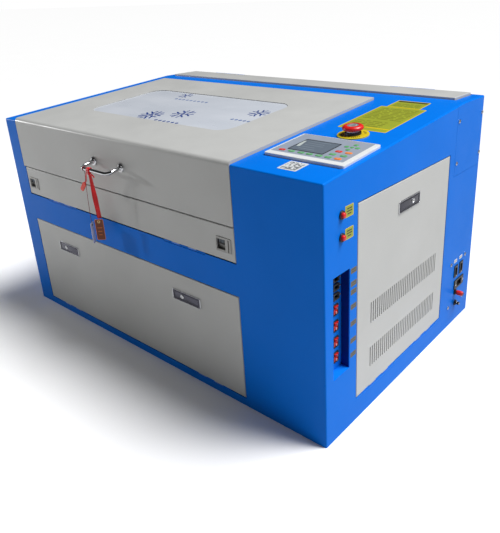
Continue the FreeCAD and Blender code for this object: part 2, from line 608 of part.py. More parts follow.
bars = []
for bar_y in (GUIDE_Y[0], SCREW_Y, GUIDE_Y[1]):
    bars.append(box(SHEET, PARTITION_X, bar_y - 10, bar_y + 10, LIFT_Z[0], LIFT_Z[1]))
for gx in GUIDE_X:
    bars[1] = bars[1].cut(rod(V(gx, SCREW_Y, 200), Z, SCREW_R + PIVOT_FIT, 60))
guides = []
for gx in GUIDE_X:
    for gy in GUIDE_Y:
        guides.append(rod(V(gx, gy, LIFT_Z[1]), Z, GUIDE_R, 376 - LIFT_Z[1]))
save("lift_frame", *bars, *guides)
for name, gx in zip(("left", "right"), GUIDE_X):
    screw = rod(V(gx, SCREW_Y, 208), Z, SCREW_R, 376 - 208)
    pulley = rod(V(gx, SCREW_Y, 210), Z, 13, 14)
    save("lift_screw_%s" % name, screw.fuse(pulley))

# ---- rear bay: laser tube and its saddles ----------------------------------------------------
TUBE_X = (150.0, 930.0)
TUBE_Y = 550.0
glass = rod(V(TUBE_X[0] + 30, TUBE_Y, BEAM_Z), X, 25, TUBE_X[1] - TUBE_X[0] - 60)
for tip in (TUBE_X[0], TUBE_X[1] - 30):
    glass = glass.fuse(rod(V(tip, TUBE_Y, BEAM_Z), X, 14, 30))
save("laser_tube", glass)
saddles = []
for saddle_x in (300.0, 780.0):
    saddle = box(saddle_x - 15, saddle_x + 15, TUBE_Y - 34, TUBE_Y + 34, BAY_Z, BEAM_Z)
    saddles.append(saddle.cut(rod(V(saddle_x - 20, TUBE_Y, BEAM_Z), X, 25, 40)))
save("tube_mounts", *saddles, mirror_post(BEAM_X, TUBE_Y, BAY_Z, -45))

# ---- electronics bay -------------------------------------------------------------------------
supply = box(800, 950, 110, 330, SHEET, 120)
controller = box(PARTITION_X + SHEET, PARTITION_X + 34, 150, 330, 220, 380)
driver = box(PARTITION_X + SHEET, PARTITION_X + 30, 350, 440, 220, 338)
save("electronics_units", supply, controller, driver)

# ---- exhaust fan inside the rear panel -------------------------------------------------------
FAN_Y = (574.0, 614.0)
FAN_R = 70.0
housing = box(DUCT_X - 82, DUCT_X + 82, FAN_Y[0], DEPTH - SHEET, DUCT_Z - 82, DUCT_Z + 82)
housing = housing.cut(rod(V(DUCT_X, FAN_Y[0] - 5, DUCT_Z), Y, FAN_R + 2, 99))
stay = box(DUCT_X - FAN_R - 4, DUCT_X + FAN_R + 4, FAN_Y[1] - 3, FAN_Y[1], DUCT_Z - 6, DUCT_Z + 6)
shaft = rod(V(DUCT_X, FAN_Y[0] + 10, DUCT_Z), Y, 3.0, FAN_Y[1] - FAN_Y[0] - 11)
save("fan_housing", housing.fuse(stay).fuse(shaft))
BLADES = 7
hub = rod(V(DUCT_X, FAN_Y[0] + 4, DUCT_Z), Y, 24, 28)
rotor = hub
for k in range(BLADES):
    blade = box(-1.2, 1.2, -12, 12, 18, FAN_R - 1)
    blade.rotate(V(0, 0, 0), Z, 40)
    blade.rotate(V(0, 0, 0), Y, k * 360 / BLADES)
    blade.translate(V(DUCT_X, FAN_Y[0] + 18, DUCT_Z))
    rotor = rotor.fuse(blade)
rotor = rotor.cut(rod(V(DUCT_X, FAN_Y[0], DUCT_Z), Y, 3.0 + PIVOT_FIT, 60))
save("fan_rotor", rotor)

# ---- doors -----------------------------------------------------------------------------------
LOCK = (84.0, 24.0)      # long and short side of a flush paddle lock
FRONT_LOCKS = {"left": 196.5, "right": 631.0}
FRONT_LOCK_Z = 196.0
SIDE_LOCK = (278.5, 391.0)
PADDLE_PIN = -34.0
PADDLE_AXIS = -1.1


def lock_hole():
    return box(-LOCK[0] / 2 + 2, LOCK[0] / 2 - 2, -LOCK[1] / 2 + 2, LOCK[1] / 2 - 2, -40, 5)


def lock_case():
    """Local X along the plate, Y up, Z outwards from the door's face."""
    flange_plate = rounded_plate(-LOCK[0] / 2, LOCK[0] / 2, -LOCK[1] / 2, LOCK[1] / 2, 0, 1.2, 3.0)
    case = box(-LOCK[0] / 2 + 2, LOCK[0] / 2 - 2, -LOCK[1] / 2 + 2, LOCK[1] / 2 - 2, -13, 0)
    case = case.fuse(flange_plate)
    case = case.cut(box(-38, 38, -8.6, 8.6, -7, 5))
    pin = rod(V(PADDLE_PIN, -8.6, PADDLE_AXIS), Y, 1.0, 17.2)
    return case.fuse(pin)


def paddle():
    body = box(-37, 37.4, -8.2, 8.2, -3, 0.8)
    return body.cut(rod(V(PADDLE_PIN, -10, PADDLE_AXIS), Y, 1.0 + PIVOT_FIT, 20))


door = pan((DOOR_X[0], DOOR_X[1], 0, DOOR_DEEP, DOOR_Z[0], DOOR_Z[1]), "+y")
for lock_x in FRONT_LOCKS.values():
    door = door.cut(on_front(lock_hole(), lock_x, FRONT_LOCK_Z))
door = add_hinges(door, DOOR_HINGES, lambda x: V(x, HINGE_FACE, DOOR_Z[0] - HINGE_EDGE), X, Z, Y * -1)
save("front_door", door)
cases = []
for lock_name, lock_x in FRONT_LOCKS.items():
    cases.append(on_front(lock_case(), lock_x, FRONT_LOCK_Z))
    save("front_paddle_%s" % lock_name, on_front(paddle(), lock_x, FRONT_LOCK_Z))
save("front_lock_cases", *cases)

VENT_Y = (144.0, 410.0)
VENT_Z = ((190.0, 234.0), (93.0, 137.0))
VENT_PITCH = 7.8
VENT_W = 3.0
side_door = pan((WIDTH - DOOR_DEEP, WIDTH, SIDE_Y[0], SIDE_Y[1], SIDE_Z[0], SIDE_Z[1]), "-x")
slots = []
count = int((VENT_Y[1] - VENT_Y[0]) / VENT_PITCH) + 1
for low, high in VENT_Z:
    for k in range(count):
        slot_y = VENT_Y[0] + k * VENT_PITCH
        slots.append(box(WIDTH - 9, WIDTH + 9, slot_y, slot_y + VENT_W, low, high))
side_door = side_door.cut(Part.Compound(slots))
side_door = side_door.cut(on_side(lock_hole(), SIDE_LOCK[0], SIDE_LOCK[1]))
side_door = add_hinges(side_door, SIDE_HINGES,
                       lambda y: V(WIDTH - HINGE_FACE, y, SIDE_Z[0] - HINGE_EDGE), Y, Z, X)
save("side_door", side_door)
save("side_lock_case", on_side(lock_case(), SIDE_LOCK[0], SIDE_LOCK[1]))
save("side_paddle", on_side(paddle(), SIDE_LOCK[0], SIDE_LOCK[1]))

# ---- pass-through flap and its two slide latches ---------------------------------------------
LATCH = (38.0, 29.0)
LATCH_X = {"left": 85.0, "right": 754.0}
LATCH_Z = 346.0
LATCH_WINDOW = (-6.5, 22.0, 21.0)        # centre, width and height of the thumb window
LATCH_SLOT = (13.0, 3.0, 24.0)
LATCH_TRAVEL = 8.0


def latch_body(low, high):
    return box(-LATCH[0] / 2 + 1.5, LATCH[0] / 2 - 1.5, -LATCH[1] / 2 + 1.5, LATCH[1] / 2 - 1.5, low, high)


def latch_frame():
    frame = rounded_plate(-LATCH[0] / 2, LATCH[0] / 2, -LATCH[1] / 2, LATCH[1] / 2, 0, 1.0, 2.0)
    frame = frame.fuse(latch_body(-11, 0))
    mid, wide, high = LATCH_WINDOW
    frame = frame.cut(box(mid - wide / 2, mid + wide / 2, -high / 2, high / 2, -6, 3))
    mid, wide, high = LATCH_SLOT
    return frame.cut(box(mid - wide / 2, mid + wide / 2, -high / 2, high / 2, -4, 3))


def latch_thumb():
    mid = LATCH_WINDOW[0]
    half = LATCH_WINDOW[1] / 2 - 0.4
    top = LATCH_WINDOW[2] / 2 - 0.4
    low = top - (LATCH_WINDOW[2] - LATCH_TRAVEL - 0.8)
    thumb = box(mid - half, mid + half, low, top, -5.7, -2.5)
    return thumb.fuse(box(mid - half + 2, mid + half - 2, low + 1.5, low + 4, -2.5, -0.6))


flap = pan((FLAP_X[0], FLAP_X[1], 0, DOOR_DEEP, FLAP_Z[0], FLAP_Z[1]), "+y")
latch_frames = []
for latch_name, latch_x in LATCH_X.items():
    flap = flap.cut(on_front(latch_body(-11, 5), latch_x, LATCH_Z))
    latch_frames.append(on_front(latch_frame(), latch_x, LATCH_Z))
    save("flap_latch_%s" % latch_name, on_front(latch_thumb(), latch_x, LATCH_Z))
flap = add_hinges(flap, FLAP_HINGES, lambda x: V(x, HINGE_FACE, FLAP_Z[0] - HINGE_EDGE), X, Z, Y * -1)
save("flap_panel", flap)
save("flap_latch_frames", *latch_frames)

# ---- rear cover ------------------------------------------------------------------------------
COVER_LEAF = 3.5
cover = pan((COVER[0], COVER[1], COVER[2], COVER[3], TOP_H - COVER_FLANGE, TOP_H + COVER_PROUD), "-z")
cover = add_hinges(cover, COVER_HINGES,
                   lambda x: V(x, COVER[3] + HINGE_EDGE, TOP_H + COVER_PROUD - HINGE_FACE),
                   X * -1, Y * -1, Z, PROUD_LEAF, COVER_LEAF)
save("rear_cover", cover)
save("hinge_pins", *fixed_hinges)

# ---- control panel ---------------------------------------------------------------------------
def on_panel(x0, x1, y0, y1, z0, z1, radius):
    """A rounded block in panel coordinates, given by its plan edges in the cabinet."""
    mid_x, mid_y = (x0 + x1) / 2, (y0 + y1) / 2
    half_x, half_y = (x1 - x0) / 2, (y1 - y0) / 2
    return on_deck(rounded_plate(-half_x, half_x, -half_y, half_y, z0, z1, radius), mid_x, mid_y)


bezel = on_panel(PANEL[0], PANEL[1], PANEL[2], PANEL[3], 0, PANEL_H, 4.0)
FACE_TOP = PANEL_H - FACE_SINK
DISPLAY_DEEP = 2.0
bezel = bezel.cut(on_panel(*FACE, FACE_TOP - FACE_T, 20, 2.0))
BODY = (FACE[0] + FACE_RIM, FACE[1] - FACE_RIM, FACE[2] + FACE_RIM, FACE[3] - FACE_RIM)
SHEET_EDGE = (FACE[0] + FACE_FIT, FACE[1] - FACE_FIT, FACE[2] + FACE_FIT, FACE[3] - FACE_FIT)
bezel = bezel.cut(on_panel(*BODY, -5, 20, 2.0))
keyboard = on_panel(*BODY, -16, FACE_TOP, 2.0).fuse(on_panel(*SHEET_EDGE, FACE_TOP - FACE_T, FACE_TOP, 2.0))
display = on_panel(*DISPLAY, FACE_TOP - DISPLAY_DEEP, FACE_TOP, 1.0)
keyboard = keyboard.cut(on_panel(*DISPLAY, FACE_TOP - DISPLAY_DEEP, 20, 1.0))
save("control_bezel", bezel)
save("control_face", keyboard, display)

# ---- emergency stop --------------------------------------------------------------------------
RING_R = 30.0
RING_T = 2.0
PLUNGER_R = 12.2         # slides in the neck's cup
CUP_FLOOR = 1.0
CAP_R = 20.0
CAP_H = 8.0
CAP_FLAT_R = 13.5
STEM_R = 5.0
STEM_PIN_R = 3.0
STEM_PIN_H = 5.0
ring = tube(V(0, 0, 0), Z, RING_R, NECK_R + 0.5, RING_T)
neck = rod(V(0, 0, 0), Z, NECK_R, NECK_TOP).fuse(rod(V(0, 0, -34), Z, 10.8, 36))
neck = neck.cut(rod(V(0, 0, CUP_FLOOR), Z, PLUNGER_R + PIVOT_FIT, NECK_TOP))
neck = neck.cut(rod(V(0, 0, -30), Z, STEM_R + PIVOT_FIT, 60))
cap_base = NECK_TOP + STOP_TRAVEL + 0.6
plunger_top = cap_base - CLEAR
plunger_low = CUP_FLOOR + STOP_TRAVEL + CLEAR
stem = rod(V(0, 0, -24), Z, STEM_R, plunger_low + 25)
stem = stem.fuse(rod(V(0, 0, plunger_low), Z, PLUNGER_R, plunger_top - plunger_low))
stem = stem.fuse(rod(V(0, 0, plunger_top), Z, STEM_PIN_R, STEM_PIN_H))
dome = [V(CAP_R - 1.5, 0, 0), V(CAP_R, 0, 1.5), V(CAP_R, 0, 3.5)]
profile = Part.Wire([
    Part.LineSegment(V(0, 0, 0), dome[0]).toShape(),
    Part.LineSegment(dome[0], dome[1]).toShape(),
    Part.LineSegment(dome[1], dome[2]).toShape(),
    Part.Arc(dome[2], V(CAP_R - 2.2, 0, CAP_H - 1.6), V(CAP_FLAT_R, 0, CAP_H)).toShape(),
    Part.LineSegment(V(CAP_FLAT_R, 0, CAP_H), V(0, 0, CAP_H)).toShape(),
    Part.LineSegment(V(0, 0, CAP_H), V(0, 0, 0)).toShape()])
mushroom = Part.Face(profile).revolve(V(0, 0, 0), Z, 360)
mushroom = Part.Solid(mushroom) if mushroom.ShapeType == "Shell" else mushroom
mushroom.translate(V(0, 0, cap_base))
mushroom = mushroom.cut(rod(V(0, 0, cap_base - 1), Z, STEM_PIN_R + PIVOT_FIT, STEM_PIN_H + 1))
save("stop_body", on_deck(neck, STOP_X, STOP_Y), on_deck(ring, STOP_X, STOP_Y))
save("stop_stem", on_deck(stem, STOP_X, STOP_Y))
save("stop_cap", on_deck(mushroom, STOP_X, STOP_Y))

# ---- push buttons ----------------------------------------------------------------------------
bezels = []
for button_name, button_z in BUTTON_Z.items():
    bezel_ring = rod(V(0, 0, 0), Z, BEZEL_R, 2.2).fuse(rod(V(0, 0, -24), Z, BEZEL_R - BEZEL_WALL, 24))
    bezel_ring = bezel_ring.cut(rod(V(0, 0, -12), Z, BUTTON_R + CLEAR, 20))
    bezels.append(on_side(bezel_ring, BUTTON_Y, button_z))
    save("push_button_%s" % button_name, on_side(rod(V(0, 0, -7), Z, BUTTON_R, 12.5), BUTTON_Y, button_z))

# ---- recess with rockers and data sockets ----------------------------------------------------
BACK_X = WIDTH - RECESS_DEEP
ROCKER_Y = 55.0
ROCKER_Z = (256.0, 223.5, 190.5, 159.0)
ROCKER_TILT = 9.0
ROCKER_AXIS = -1.0
SOCKET_Z = (317.0, 300.0, 282.0)
recess = box(BACK_X - SHEET, WIDTH - SHEET, RECESS_Y[0] - SHEET, RECESS_Y[1] + SHEET,
             RECESS_Z[0] - SHEET, RECESS_Z[1] + SHEET)
recess = recess.cut(box(BACK_X, WIDTH, RECESS_Y[0], RECESS_Y[1], RECESS_Z[0], RECESS_Z[1]))
for rocker_z in ROCKER_Z:
    recess = recess.cut(box(BACK_X - 9, BACK_X + 9, ROCKER_Y - 6.4, ROCKER_Y + 6.4,
                            rocker_z - 9.4, rocker_z + 9.4))
for socket_z in SOCKET_Z:
    recess = recess.cut(box(BACK_X - 9, BACK_X + 9, ROCKER_Y - 6, ROCKER_Y + 6, socket_z - 5, socket_z + 5))
save("switch_recess", recess)


def rocker_frame():
    frame = rounded_plate(-7.5, 7.5, -10.5, 10.5, 0, 1.4, 1.0)
    frame = frame.fuse(box(-6.4, 6.4, -9.4, 9.4, -16, 0))
    frame = frame.cut(box(-5.6, 5.6, -8.7, 8.7, -12, 3))
    return frame.fuse(rod(V(-5.6, 0, ROCKER_AXIS), X, 0.8, 11.2))


def rocker_cap():
    """Two faces that meet over the axis; drawn level, then tilted to its off side."""
    half = 7.9
    wire = Part.makePolygon([V(-5.2, -half, -2.0), V(-5.2, -half, 2.6), V(-5.2, 0, 1.2), V(-5.2, half, 2.6),
                             V(-5.2, half, -2.0), V(-5.2, 0, -5.5), V(-5.2, -half, -2.0)])
    cap = Part.Face(wire).extrude(V(10.4, 0, 0))
    cap = cap.cut(rod(V(-9, 0, ROCKER_AXIS), X, 0.8 + PIVOT_FIT, 18))
    cap.rotate(V(0, 0, ROCKER_AXIS), X, ROCKER_TILT)
    return cap


frames = []
for k, rocker_z in enumerate(ROCKER_Z):
    frames.append(on_side(rocker_frame(), ROCKER_Y, rocker_z, -RECESS_DEEP))
    save("rocker_%d" % (k + 1), on_side(rocker_cap(), ROCKER_Y, rocker_z, -RECESS_DEEP))
save("switch_frames", *bezels, *frames)


def socket(half_w, half_h, deep):
    """A panel socket: a plate with a rim, a blind mouth and a body behind the wall."""
    body = box(-half_w - 1.5, half_w + 1.5, -half_h - 1.5, half_h + 1.5, 0, 2.0)
    body = body.fuse(box(-half_w, half_w, -half_h, half_h, -deep, 0))
    return body.cut(box(-half_w + 1.5, half_w - 1.5, -half_h + 1.5, half_h - 1.5, -deep + 3, 5))


sockets = [on_side(socket(6, 5, 12), ROCKER_Y, z, -RECESS_DEEP) for z in SOCKET_Z]

# ---- power and signal connectors at the rear -------------------------------------------------
SIGNAL_Y = (532.0, 561.5)
SIGNAL_Z = 141.5
INLET = (553.0, 104.0)
BARBS = {"outlet": (537.0, 83.0, BARB_REACH), "inlet": (541.0, 52.0, 12.0)}
connector_plate = box(WIDTH - SHEET, WIDTH, PLATE_Y[0], PLATE_Y[1], PLATE_Z[0], PLATE_Z[1])
for signal_y in SIGNAL_Y:
    connector_plate = connector_plate.cut(box(WIDTH - 9, WIDTH + 9, signal_y - 7.5, signal_y + 7.5,
                                              SIGNAL_Z - 13.5, SIGNAL_Z + 13.5))
    sockets.append(on_side(socket(7.5, 13.5, 14), signal_y, SIGNAL_Z))
connector_plate = connector_plate.cut(box(WIDTH - 9, WIDTH + 9, INLET[0] - 14, INLET[0] + 14,
                                          INLET[1] - 10, INLET[1] + 10))
for barb_y, barb_z, reach in BARBS.values():
    connector_plate = connector_plate.cut(rod(V(WIDTH - 9, barb_y, barb_z), X, 5.0, 18))
save("side_covers", end_cover, connector_plate)

inlet = box(-25, 25, -11.5, 11.5, 0, 2.5).fuse(box(-14, 14, -10, 10, -22, 0))
inlet = inlet.cut(box(-12, 12, -8, 8, -16, 5))
for blade_x, blade_y in ((-7, -2), (0, 2), (7, -2)):
    inlet = inlet.fuse(box(blade_x - 1, blade_x + 1, blade_y - 2, blade_y + 2, -17, -2))
save("panel_sockets", on_side(inlet, INLET[0], INLET[1]), *sockets)
barbs = []
for barb_y, barb_z, reach in BARBS.values():
    barb = rod(V(0, 0, -12), Z, 5.0, 12).fuse(rod(V(0, 0, 0), Z, 7.0, 3))
    barb = barb.fuse(rod(V(0, 0, 3), Z, 4.0, reach - 3)).cut(rod(V(0, 0, -13), Z, 2.2, 60))
    barbs.append(on_side(barb, barb_y, barb_z))
save("water_barbs", *barbs)

# ---- fasteners, labels -----------------------------------------------------------------------
SCREW_AT = [(489, 510), (612, 510), (489, 418), (612, 418), (503, 168), (581, 168), (502, 54), (581, 54)]
HEAD_R = 4.2
HEAD_H = 2.2
CROSS = (3.0, 0.5, 1.2)      # half length, half width and floor of the cross recess
cross_long, cross_half, cross_floor = CROSS
screw_head = rod(V(0, 0, 0), Z, HEAD_R, HEAD_H)
screw_head = screw_head.cut(box(-cross_half, cross_half, -cross_long, cross_long, cross_floor, HEAD_H + 1))
screw_head = screw_head.cut(box(-cross_long, cross_long, -cross_half, cross_half, cross_floor, HEAD_H + 1))
screws = [on_side(screw_head, screw_y, screw_z) for screw_y, screw_z in SCREW_AT]
save("cover_screws", *screws)

LABEL_T = 0.4
LABEL_Y = 85.5
RECESS_LABEL_Z = (325.0, 300.0, 284.0, 255.0, 221.0, 186.0, 156.0)
STICKERS = ((881.0, 341.5, 108.0, 168.0), (879.0, 453.0, 78.0, 54.0), (888.0, 43.0, 39.0, 38.0))


def label(wide, high):
    return box(-wide / 2, wide / 2, -high / 2, high / 2, 0, LABEL_T)


labels = [on_side(label(18, 10), LABEL_Y, label_z) for label_z in RECESS_LABEL_Z]
labels += [on_side(label(16, 8), signal_y - 4, SIGNAL_Z + 28) for signal_y in SIGNAL_Y]
label_y, label_wide, label_high = BUTTON_LABEL
labels += [on_side(label(label_wide, label_high), label_y, button_z + 1) for button_z in BUTTON_Z.values()]
stickers = [on_deck(label(wide, high), x, y) for x, y, wide, high in STICKERS]
save("label_plates", *labels, *stickers)
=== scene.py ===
import json
import math
import random

import bmesh
import bpy
from mathutils import Matrix, Vector


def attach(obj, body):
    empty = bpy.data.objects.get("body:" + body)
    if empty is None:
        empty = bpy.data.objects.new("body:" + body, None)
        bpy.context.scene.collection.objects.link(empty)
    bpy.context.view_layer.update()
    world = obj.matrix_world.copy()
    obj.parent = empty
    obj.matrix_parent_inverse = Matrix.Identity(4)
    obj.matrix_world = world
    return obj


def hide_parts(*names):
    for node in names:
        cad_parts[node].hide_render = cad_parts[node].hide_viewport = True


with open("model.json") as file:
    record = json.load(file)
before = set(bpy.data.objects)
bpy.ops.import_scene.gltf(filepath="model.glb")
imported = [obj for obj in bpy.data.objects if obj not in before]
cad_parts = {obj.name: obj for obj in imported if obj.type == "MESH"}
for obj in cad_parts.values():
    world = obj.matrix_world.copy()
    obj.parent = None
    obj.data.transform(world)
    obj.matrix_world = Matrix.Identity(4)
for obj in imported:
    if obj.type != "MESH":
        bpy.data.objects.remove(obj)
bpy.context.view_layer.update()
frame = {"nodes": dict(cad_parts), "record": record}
NODES = frame["nodes"]

# ---- the cabinet's own layout, in millimetres: x from the left face, y from the front, z up ----
MM = 0.001
ORIGIN = Vector((-501.0, -310.0, 0.0))
WIDTH, DEPTH = 980.0, 620.0
FRONT_H, TOP_H = 501.0, 547.0
BREAK_Y = 516.0          # where the sloped deck ends
SLOPE = (TOP_H - FRONT_H) / BREAK_Y
SLOPE_ANGLE = math.atan(SLOPE)
X, Y, Z = Vector((1, 0, 0)), Vector((0, 1, 0)), Vector((0, 0, 1))
DECK_Y = Vector((0, math.cos(SLOPE_ANGLE), math.sin(SLOPE_ANGLE)))
DECK_N = Vector((0, -math.sin(SLOPE_ANGLE), math.cos(SLOPE_ANGLE)))
LID_UP = 5.0             # the lid's face above the deck
SHEET = 2.0
SIT = 0.02               # how far above a face a part on it starts, so that the two don't flicker


def at(x, y, z):
    """A point of the cabinet layout in the row frame, in metres."""
    return (ORIGIN + Vector((x, y, z))) * MM


def axes(point, x_dir, y_dir, z_dir, turn=0.0):
    """Local millimetres to the row frame's metres, turned about the local z axis."""
    turned = Matrix.Rotation(math.radians(turn), 3, "Z")
    grid = Matrix((x_dir, y_dir, z_dir)).transposed() @ turned
    place = (grid * MM).to_4x4()
    place.translation = point
    return place


# Places on the cabinet's faces: local x to the right, y up the face, z out of it.
def on_deck(x, y, up=0.0, turn=0.0):
    height = FRONT_H + SLOPE * min(y, BREAK_Y)
    return axes(at(x, y, height) + DECK_N * up * MM, X, DECK_Y, DECK_N, turn)


def on_lid(x, y, up=0.0, turn=0.0):
    return on_deck(x, y, LID_UP + up, turn)


def on_side(y, z, out=0.0, turn=0.0):
    return axes(at(WIDTH + out, y, z), Y, Z, X, turn)


def on_front(x, z, out=0.0, turn=0.0):
    return axes(at(x, -out, z), X, Z, -Y, turn)


def on_rear(x, z, out=0.0, turn=0.0):
    return axes(at(x, DEPTH + out, z), -X, Z, Y, turn)


def moved(place, x=0.0, y=0.0, z=0.0):
    return place @ Matrix.Translation((x, y, z))


def spun(place, degrees, axis="Z"):
    return place @ Matrix.Rotation(math.radians(degrees), 4, axis)


def polar(centre, radius, degrees):
    """The x and y of a point on a circle."""
    a = math.radians(degrees)
    return centre[0] + radius * math.cos(a), centre[1] + radius * math.sin(a)


# ---- shaders ----
MIX_A, MIX_B, MIX_RESULT = 6, 7, 2          # the colour sockets of Blender's Mix node
MIDDLE = (0.3, 0.7)                         # most values of a noise lie between these
DUST = (0.75, 0.76, 0.78)
COLOUR_EDGE = 0.0001                        # width of a change of paint, in metres


class Nodes:
    """A short way to write a shader: make nodes and link them by socket name."""

    def __init__(self, name):
        self.material = bpy.data.materials.new(name)
        self.material.use_nodes = True
        self.tree = self.material.node_tree
        self.shader = self.tree.nodes["Principled BSDF"]
        self.where = self.make("TexCoord").outputs["Object"]

    def make(self, kind, **settings):
        node = self.tree.nodes.new("ShaderNode" + kind)
        for key, value in settings.items():
            setattr(node, key, value)
        return node

    def link(self, source, target):
        self.tree.links.new(source, target)

    def stretched(self, stretch, turn):
        mapping = self.make("Mapping")
        mapping.inputs["Scale"].default_value = stretch
        mapping.inputs["Rotation"].default_value = turn
        self.link(self.where, mapping.inputs["Vector"])
        return mapping.outputs["Vector"]

    def noise(self, scale, detail=3.0, rough=0.5, stretch=None, turn=(0, 0, 0)):
        node = self.make("TexNoise")
        node.inputs["Scale"].default_value = scale
        node.inputs["Detail"].default_value = detail
        node.inputs["Roughness"].default_value = rough
        self.link(self.stretched(stretch, turn) if stretch else self.where, node.inputs["Vector"])
        return node.outputs["Fac"]

    def cells(self, scale):
        node = self.make("TexVoronoi")
        node.inputs["Scale"].default_value = scale
        self.link(self.where, node.inputs["Vector"])
        return node.outputs["Color"]

    def axis(self, name):
        split = self.make("SeparateXYZ")
        self.link(self.where, split.inputs["Vector"])
        return split.outputs[name]

    def span(self, value, low, high, from_low=0.0, from_high=1.0):
        """The value mapped from one range to another, and held within it."""
        node = self.make("MapRange")
        self.link(value, node.inputs["Value"])
        ends = {"From Min": from_low, "From Max": from_high, "To Min": low, "To Max": high}
        for key, number in ends.items():
            node.inputs[key].default_value = number
        return node.outputs["Result"]

    def mix(self, factor, a, b):
        node = self.make("Mix", data_type="RGBA")
        pairs = ((node.inputs["Factor"], factor), (node.inputs[MIX_A], a), (node.inputs[MIX_B], b))
        for socket, value in pairs:
            self.feed(socket, value)
        return node.outputs[MIX_RESULT]

    def bump(self, height, strength, distance):
        node = self.make("Bump")
        node.inputs["Strength"].default_value = strength
        node.inputs["Distance"].default_value = distance
        self.link(height, node.inputs["Height"])
        return node.outputs["Normal"]

    def feed(self, socket, value):
        """Link an output to the socket, or set it to a colour or number."""
        if isinstance(value, bpy.types.NodeSocket):
            self.link(value, socket)
        elif isinstance(value, tuple):
            socket.default_value = (*value, 1.0)
        else:
            socket.default_value = value

    def set(self, **values):
        for key, value in values.items():
            self.feed(self.shader.inputs[key.replace("_", " ")], value)


def scaled(colour, by, lift=0.0):
    """A lighter or darker tone of a colour."""
    return tuple(min(1.0, c * by + lift) for c in colour)


def painted(name, colour, grain, rough, depth, dust, gloss, beyond=None):
    """Powder coat: a fine orange peel, a slow drift of tone, and a little dust.

    beyond is (axis, sign, millimetres, colour): the other colour past that plane of the layout.
    """
    n = Nodes(name)
    drift = n.noise(3.0, detail=4.0, rough=0.55)
    peel = n.noise(grain, detail=2.0)
    speck = n.noise(1400.0, detail=2.0, rough=0.6)
    smear = n.noise(14.0, detail=5.0, rough=0.65)
    tone = n.mix(n.span(drift, 0.0, 1.0, *MIDDLE), scaled(colour, 0.93), scaled(colour, 1.05, 0.002))
    if beyond:
        axis, sign, limit, other = beyond
        start = (ORIGIN["XYZ".index(axis)] + limit) * MM
        past = n.span(n.axis(axis), 0.0, 1.0, start, start + sign * COLOUR_EDGE)
        tone = n.mix(past, tone, other)
    tone = n.mix(n.span(speck, 0.0, dust, 0.64, 0.8), tone, DUST)
    n.set(Base_Color=tone, Roughness=n.span(smear, rough - 0.05, rough + 0.08, *MIDDLE))
    n.set(Normal=n.bump(peel, 0.3, depth), Specular_IOR_Level=gloss)
    return n.material


def moulded(name, colour, rough, shade=0.16):
    """Moulded plastic: satin grain with faint flow marks."""
    n = Nodes(name)
    flow = n.noise(40.0, detail=4.0, rough=0.6, stretch=(1.0, 1.0, 3.0))
    grit = n.noise(1500.0, detail=2.0)
    rub = n.noise(90.0, rough=0.6)
    n.set(Base_Color=n.mix(flow, scaled(colour, 1 - shade), scaled(colour, 1 + shade, 0.002)))
    n.set(Roughness=n.span(rub, rough - 0.08, rough + 0.1, *MIDDLE), Normal=n.bump(grit, 0.3, 0.00003))
    return n.material


def metal(name, colour, rough, brush=(1.0, 1.0, 1.0), depth=0.00002):
    """Worked metal: finger smears, and scratches along the axis that brush scales down."""
    n = Nodes(name)
    lines = n.noise(260.0, detail=4.0, rough=0.7, stretch=brush)
    smear = n.noise(35.0, detail=5.0, rough=0.6)
    n.set(Base_Color=n.mix(n.span(smear, 0.0, 1.0, *MIDDLE), scaled(colour, 0.86), colour), Metallic=1.0)
    n.set(Roughness=n.span(lines, rough * 0.6, rough * 1.5, *MIDDLE), Normal=n.bump(lines, 0.25, depth))
    return n.material


def glassy(name, colour, rough, ior):
    """Clear glass or acrylic, very slightly wavy."""
    n = Nodes(name)
    wave = n.noise(30.0, detail=2.0)
    n.set(Base_Color=n.mix(wave, scaled(colour, 0.96), colour), Transmission_Weight=0.92, IOR=ior)
    n.set(Roughness=n.span(wave, rough, rough + 0.05), Normal=n.bump(wave, 0.1, 0.0002))
    return n.material


def zinc(name, colour):
    """Galvanised sheet: irregular spangles that differ in tone and gloss."""
    n = Nodes(name)
    grey = n.make("RGBToBW")
    n.link(n.cells(120.0), grey.inputs["Color"])
    flakes = grey.outputs["Val"]
    n.set(Base_Color=n.mix(flakes, scaled(colour, 0.72), colour), Metallic=0.9)
    n.set(Roughness=n.span(flakes, 0.28, 0.5), Normal=n.bump(n.noise(600.0), 0.2, 0.00003))
    return n.material


def satin_ribbon(name, colour):
    """Woven satin: fine weft ribs, and long lighter and darker streaks that are painted sheen and painted
    shade of its floats and folds.
    """
    n = Nodes(name)
    weft = n.make("TexWave", bands_direction="Z")
    weft.inputs["Scale"].default_value = 900.0
    weft.inputs["Distortion"].default_value = 0.6
    n.link(n.where, weft.inputs["Vector"])
    # painted light and shade: the base colour runs darker and lighter along these long streaks
    fold_light_and_shade = n.noise(120.0, rough=0.6, stretch=(1.0, 1.0, 0.25))
    n.set(Base_Color=n.mix(n.span(fold_light_and_shade, 0.0, 1.0, *MIDDLE), scaled(colour, 0.62), scaled(colour, 1.15)))
    n.set(Roughness=0.36, Specular_IOR_Level=0.3)
    n.set(Normal=n.bump(weft.outputs["Fac"], 0.35, 0.00006))
    return n.material


def printed(name, colour, rough=0.4, drift=0.1, scale=25.0):
    """Printed film or card: even ink with a slight mottle."""
    n = Nodes(name)
    mottle = n.noise(scale, detail=4.0, rough=0.6)
    fibre = n.noise(700.0, rough=0.6)
    n.set(Base_Color=n.mix(mottle, scaled(colour, 1 - drift), scaled(colour, 1 + drift, 0.002)))
    n.set(Roughness=n.span(fibre, rough - 0.06, rough + 0.08, *MIDDLE))
    n.set(Normal=n.bump(fibre, 0.15, 0.00002))
    return n.material


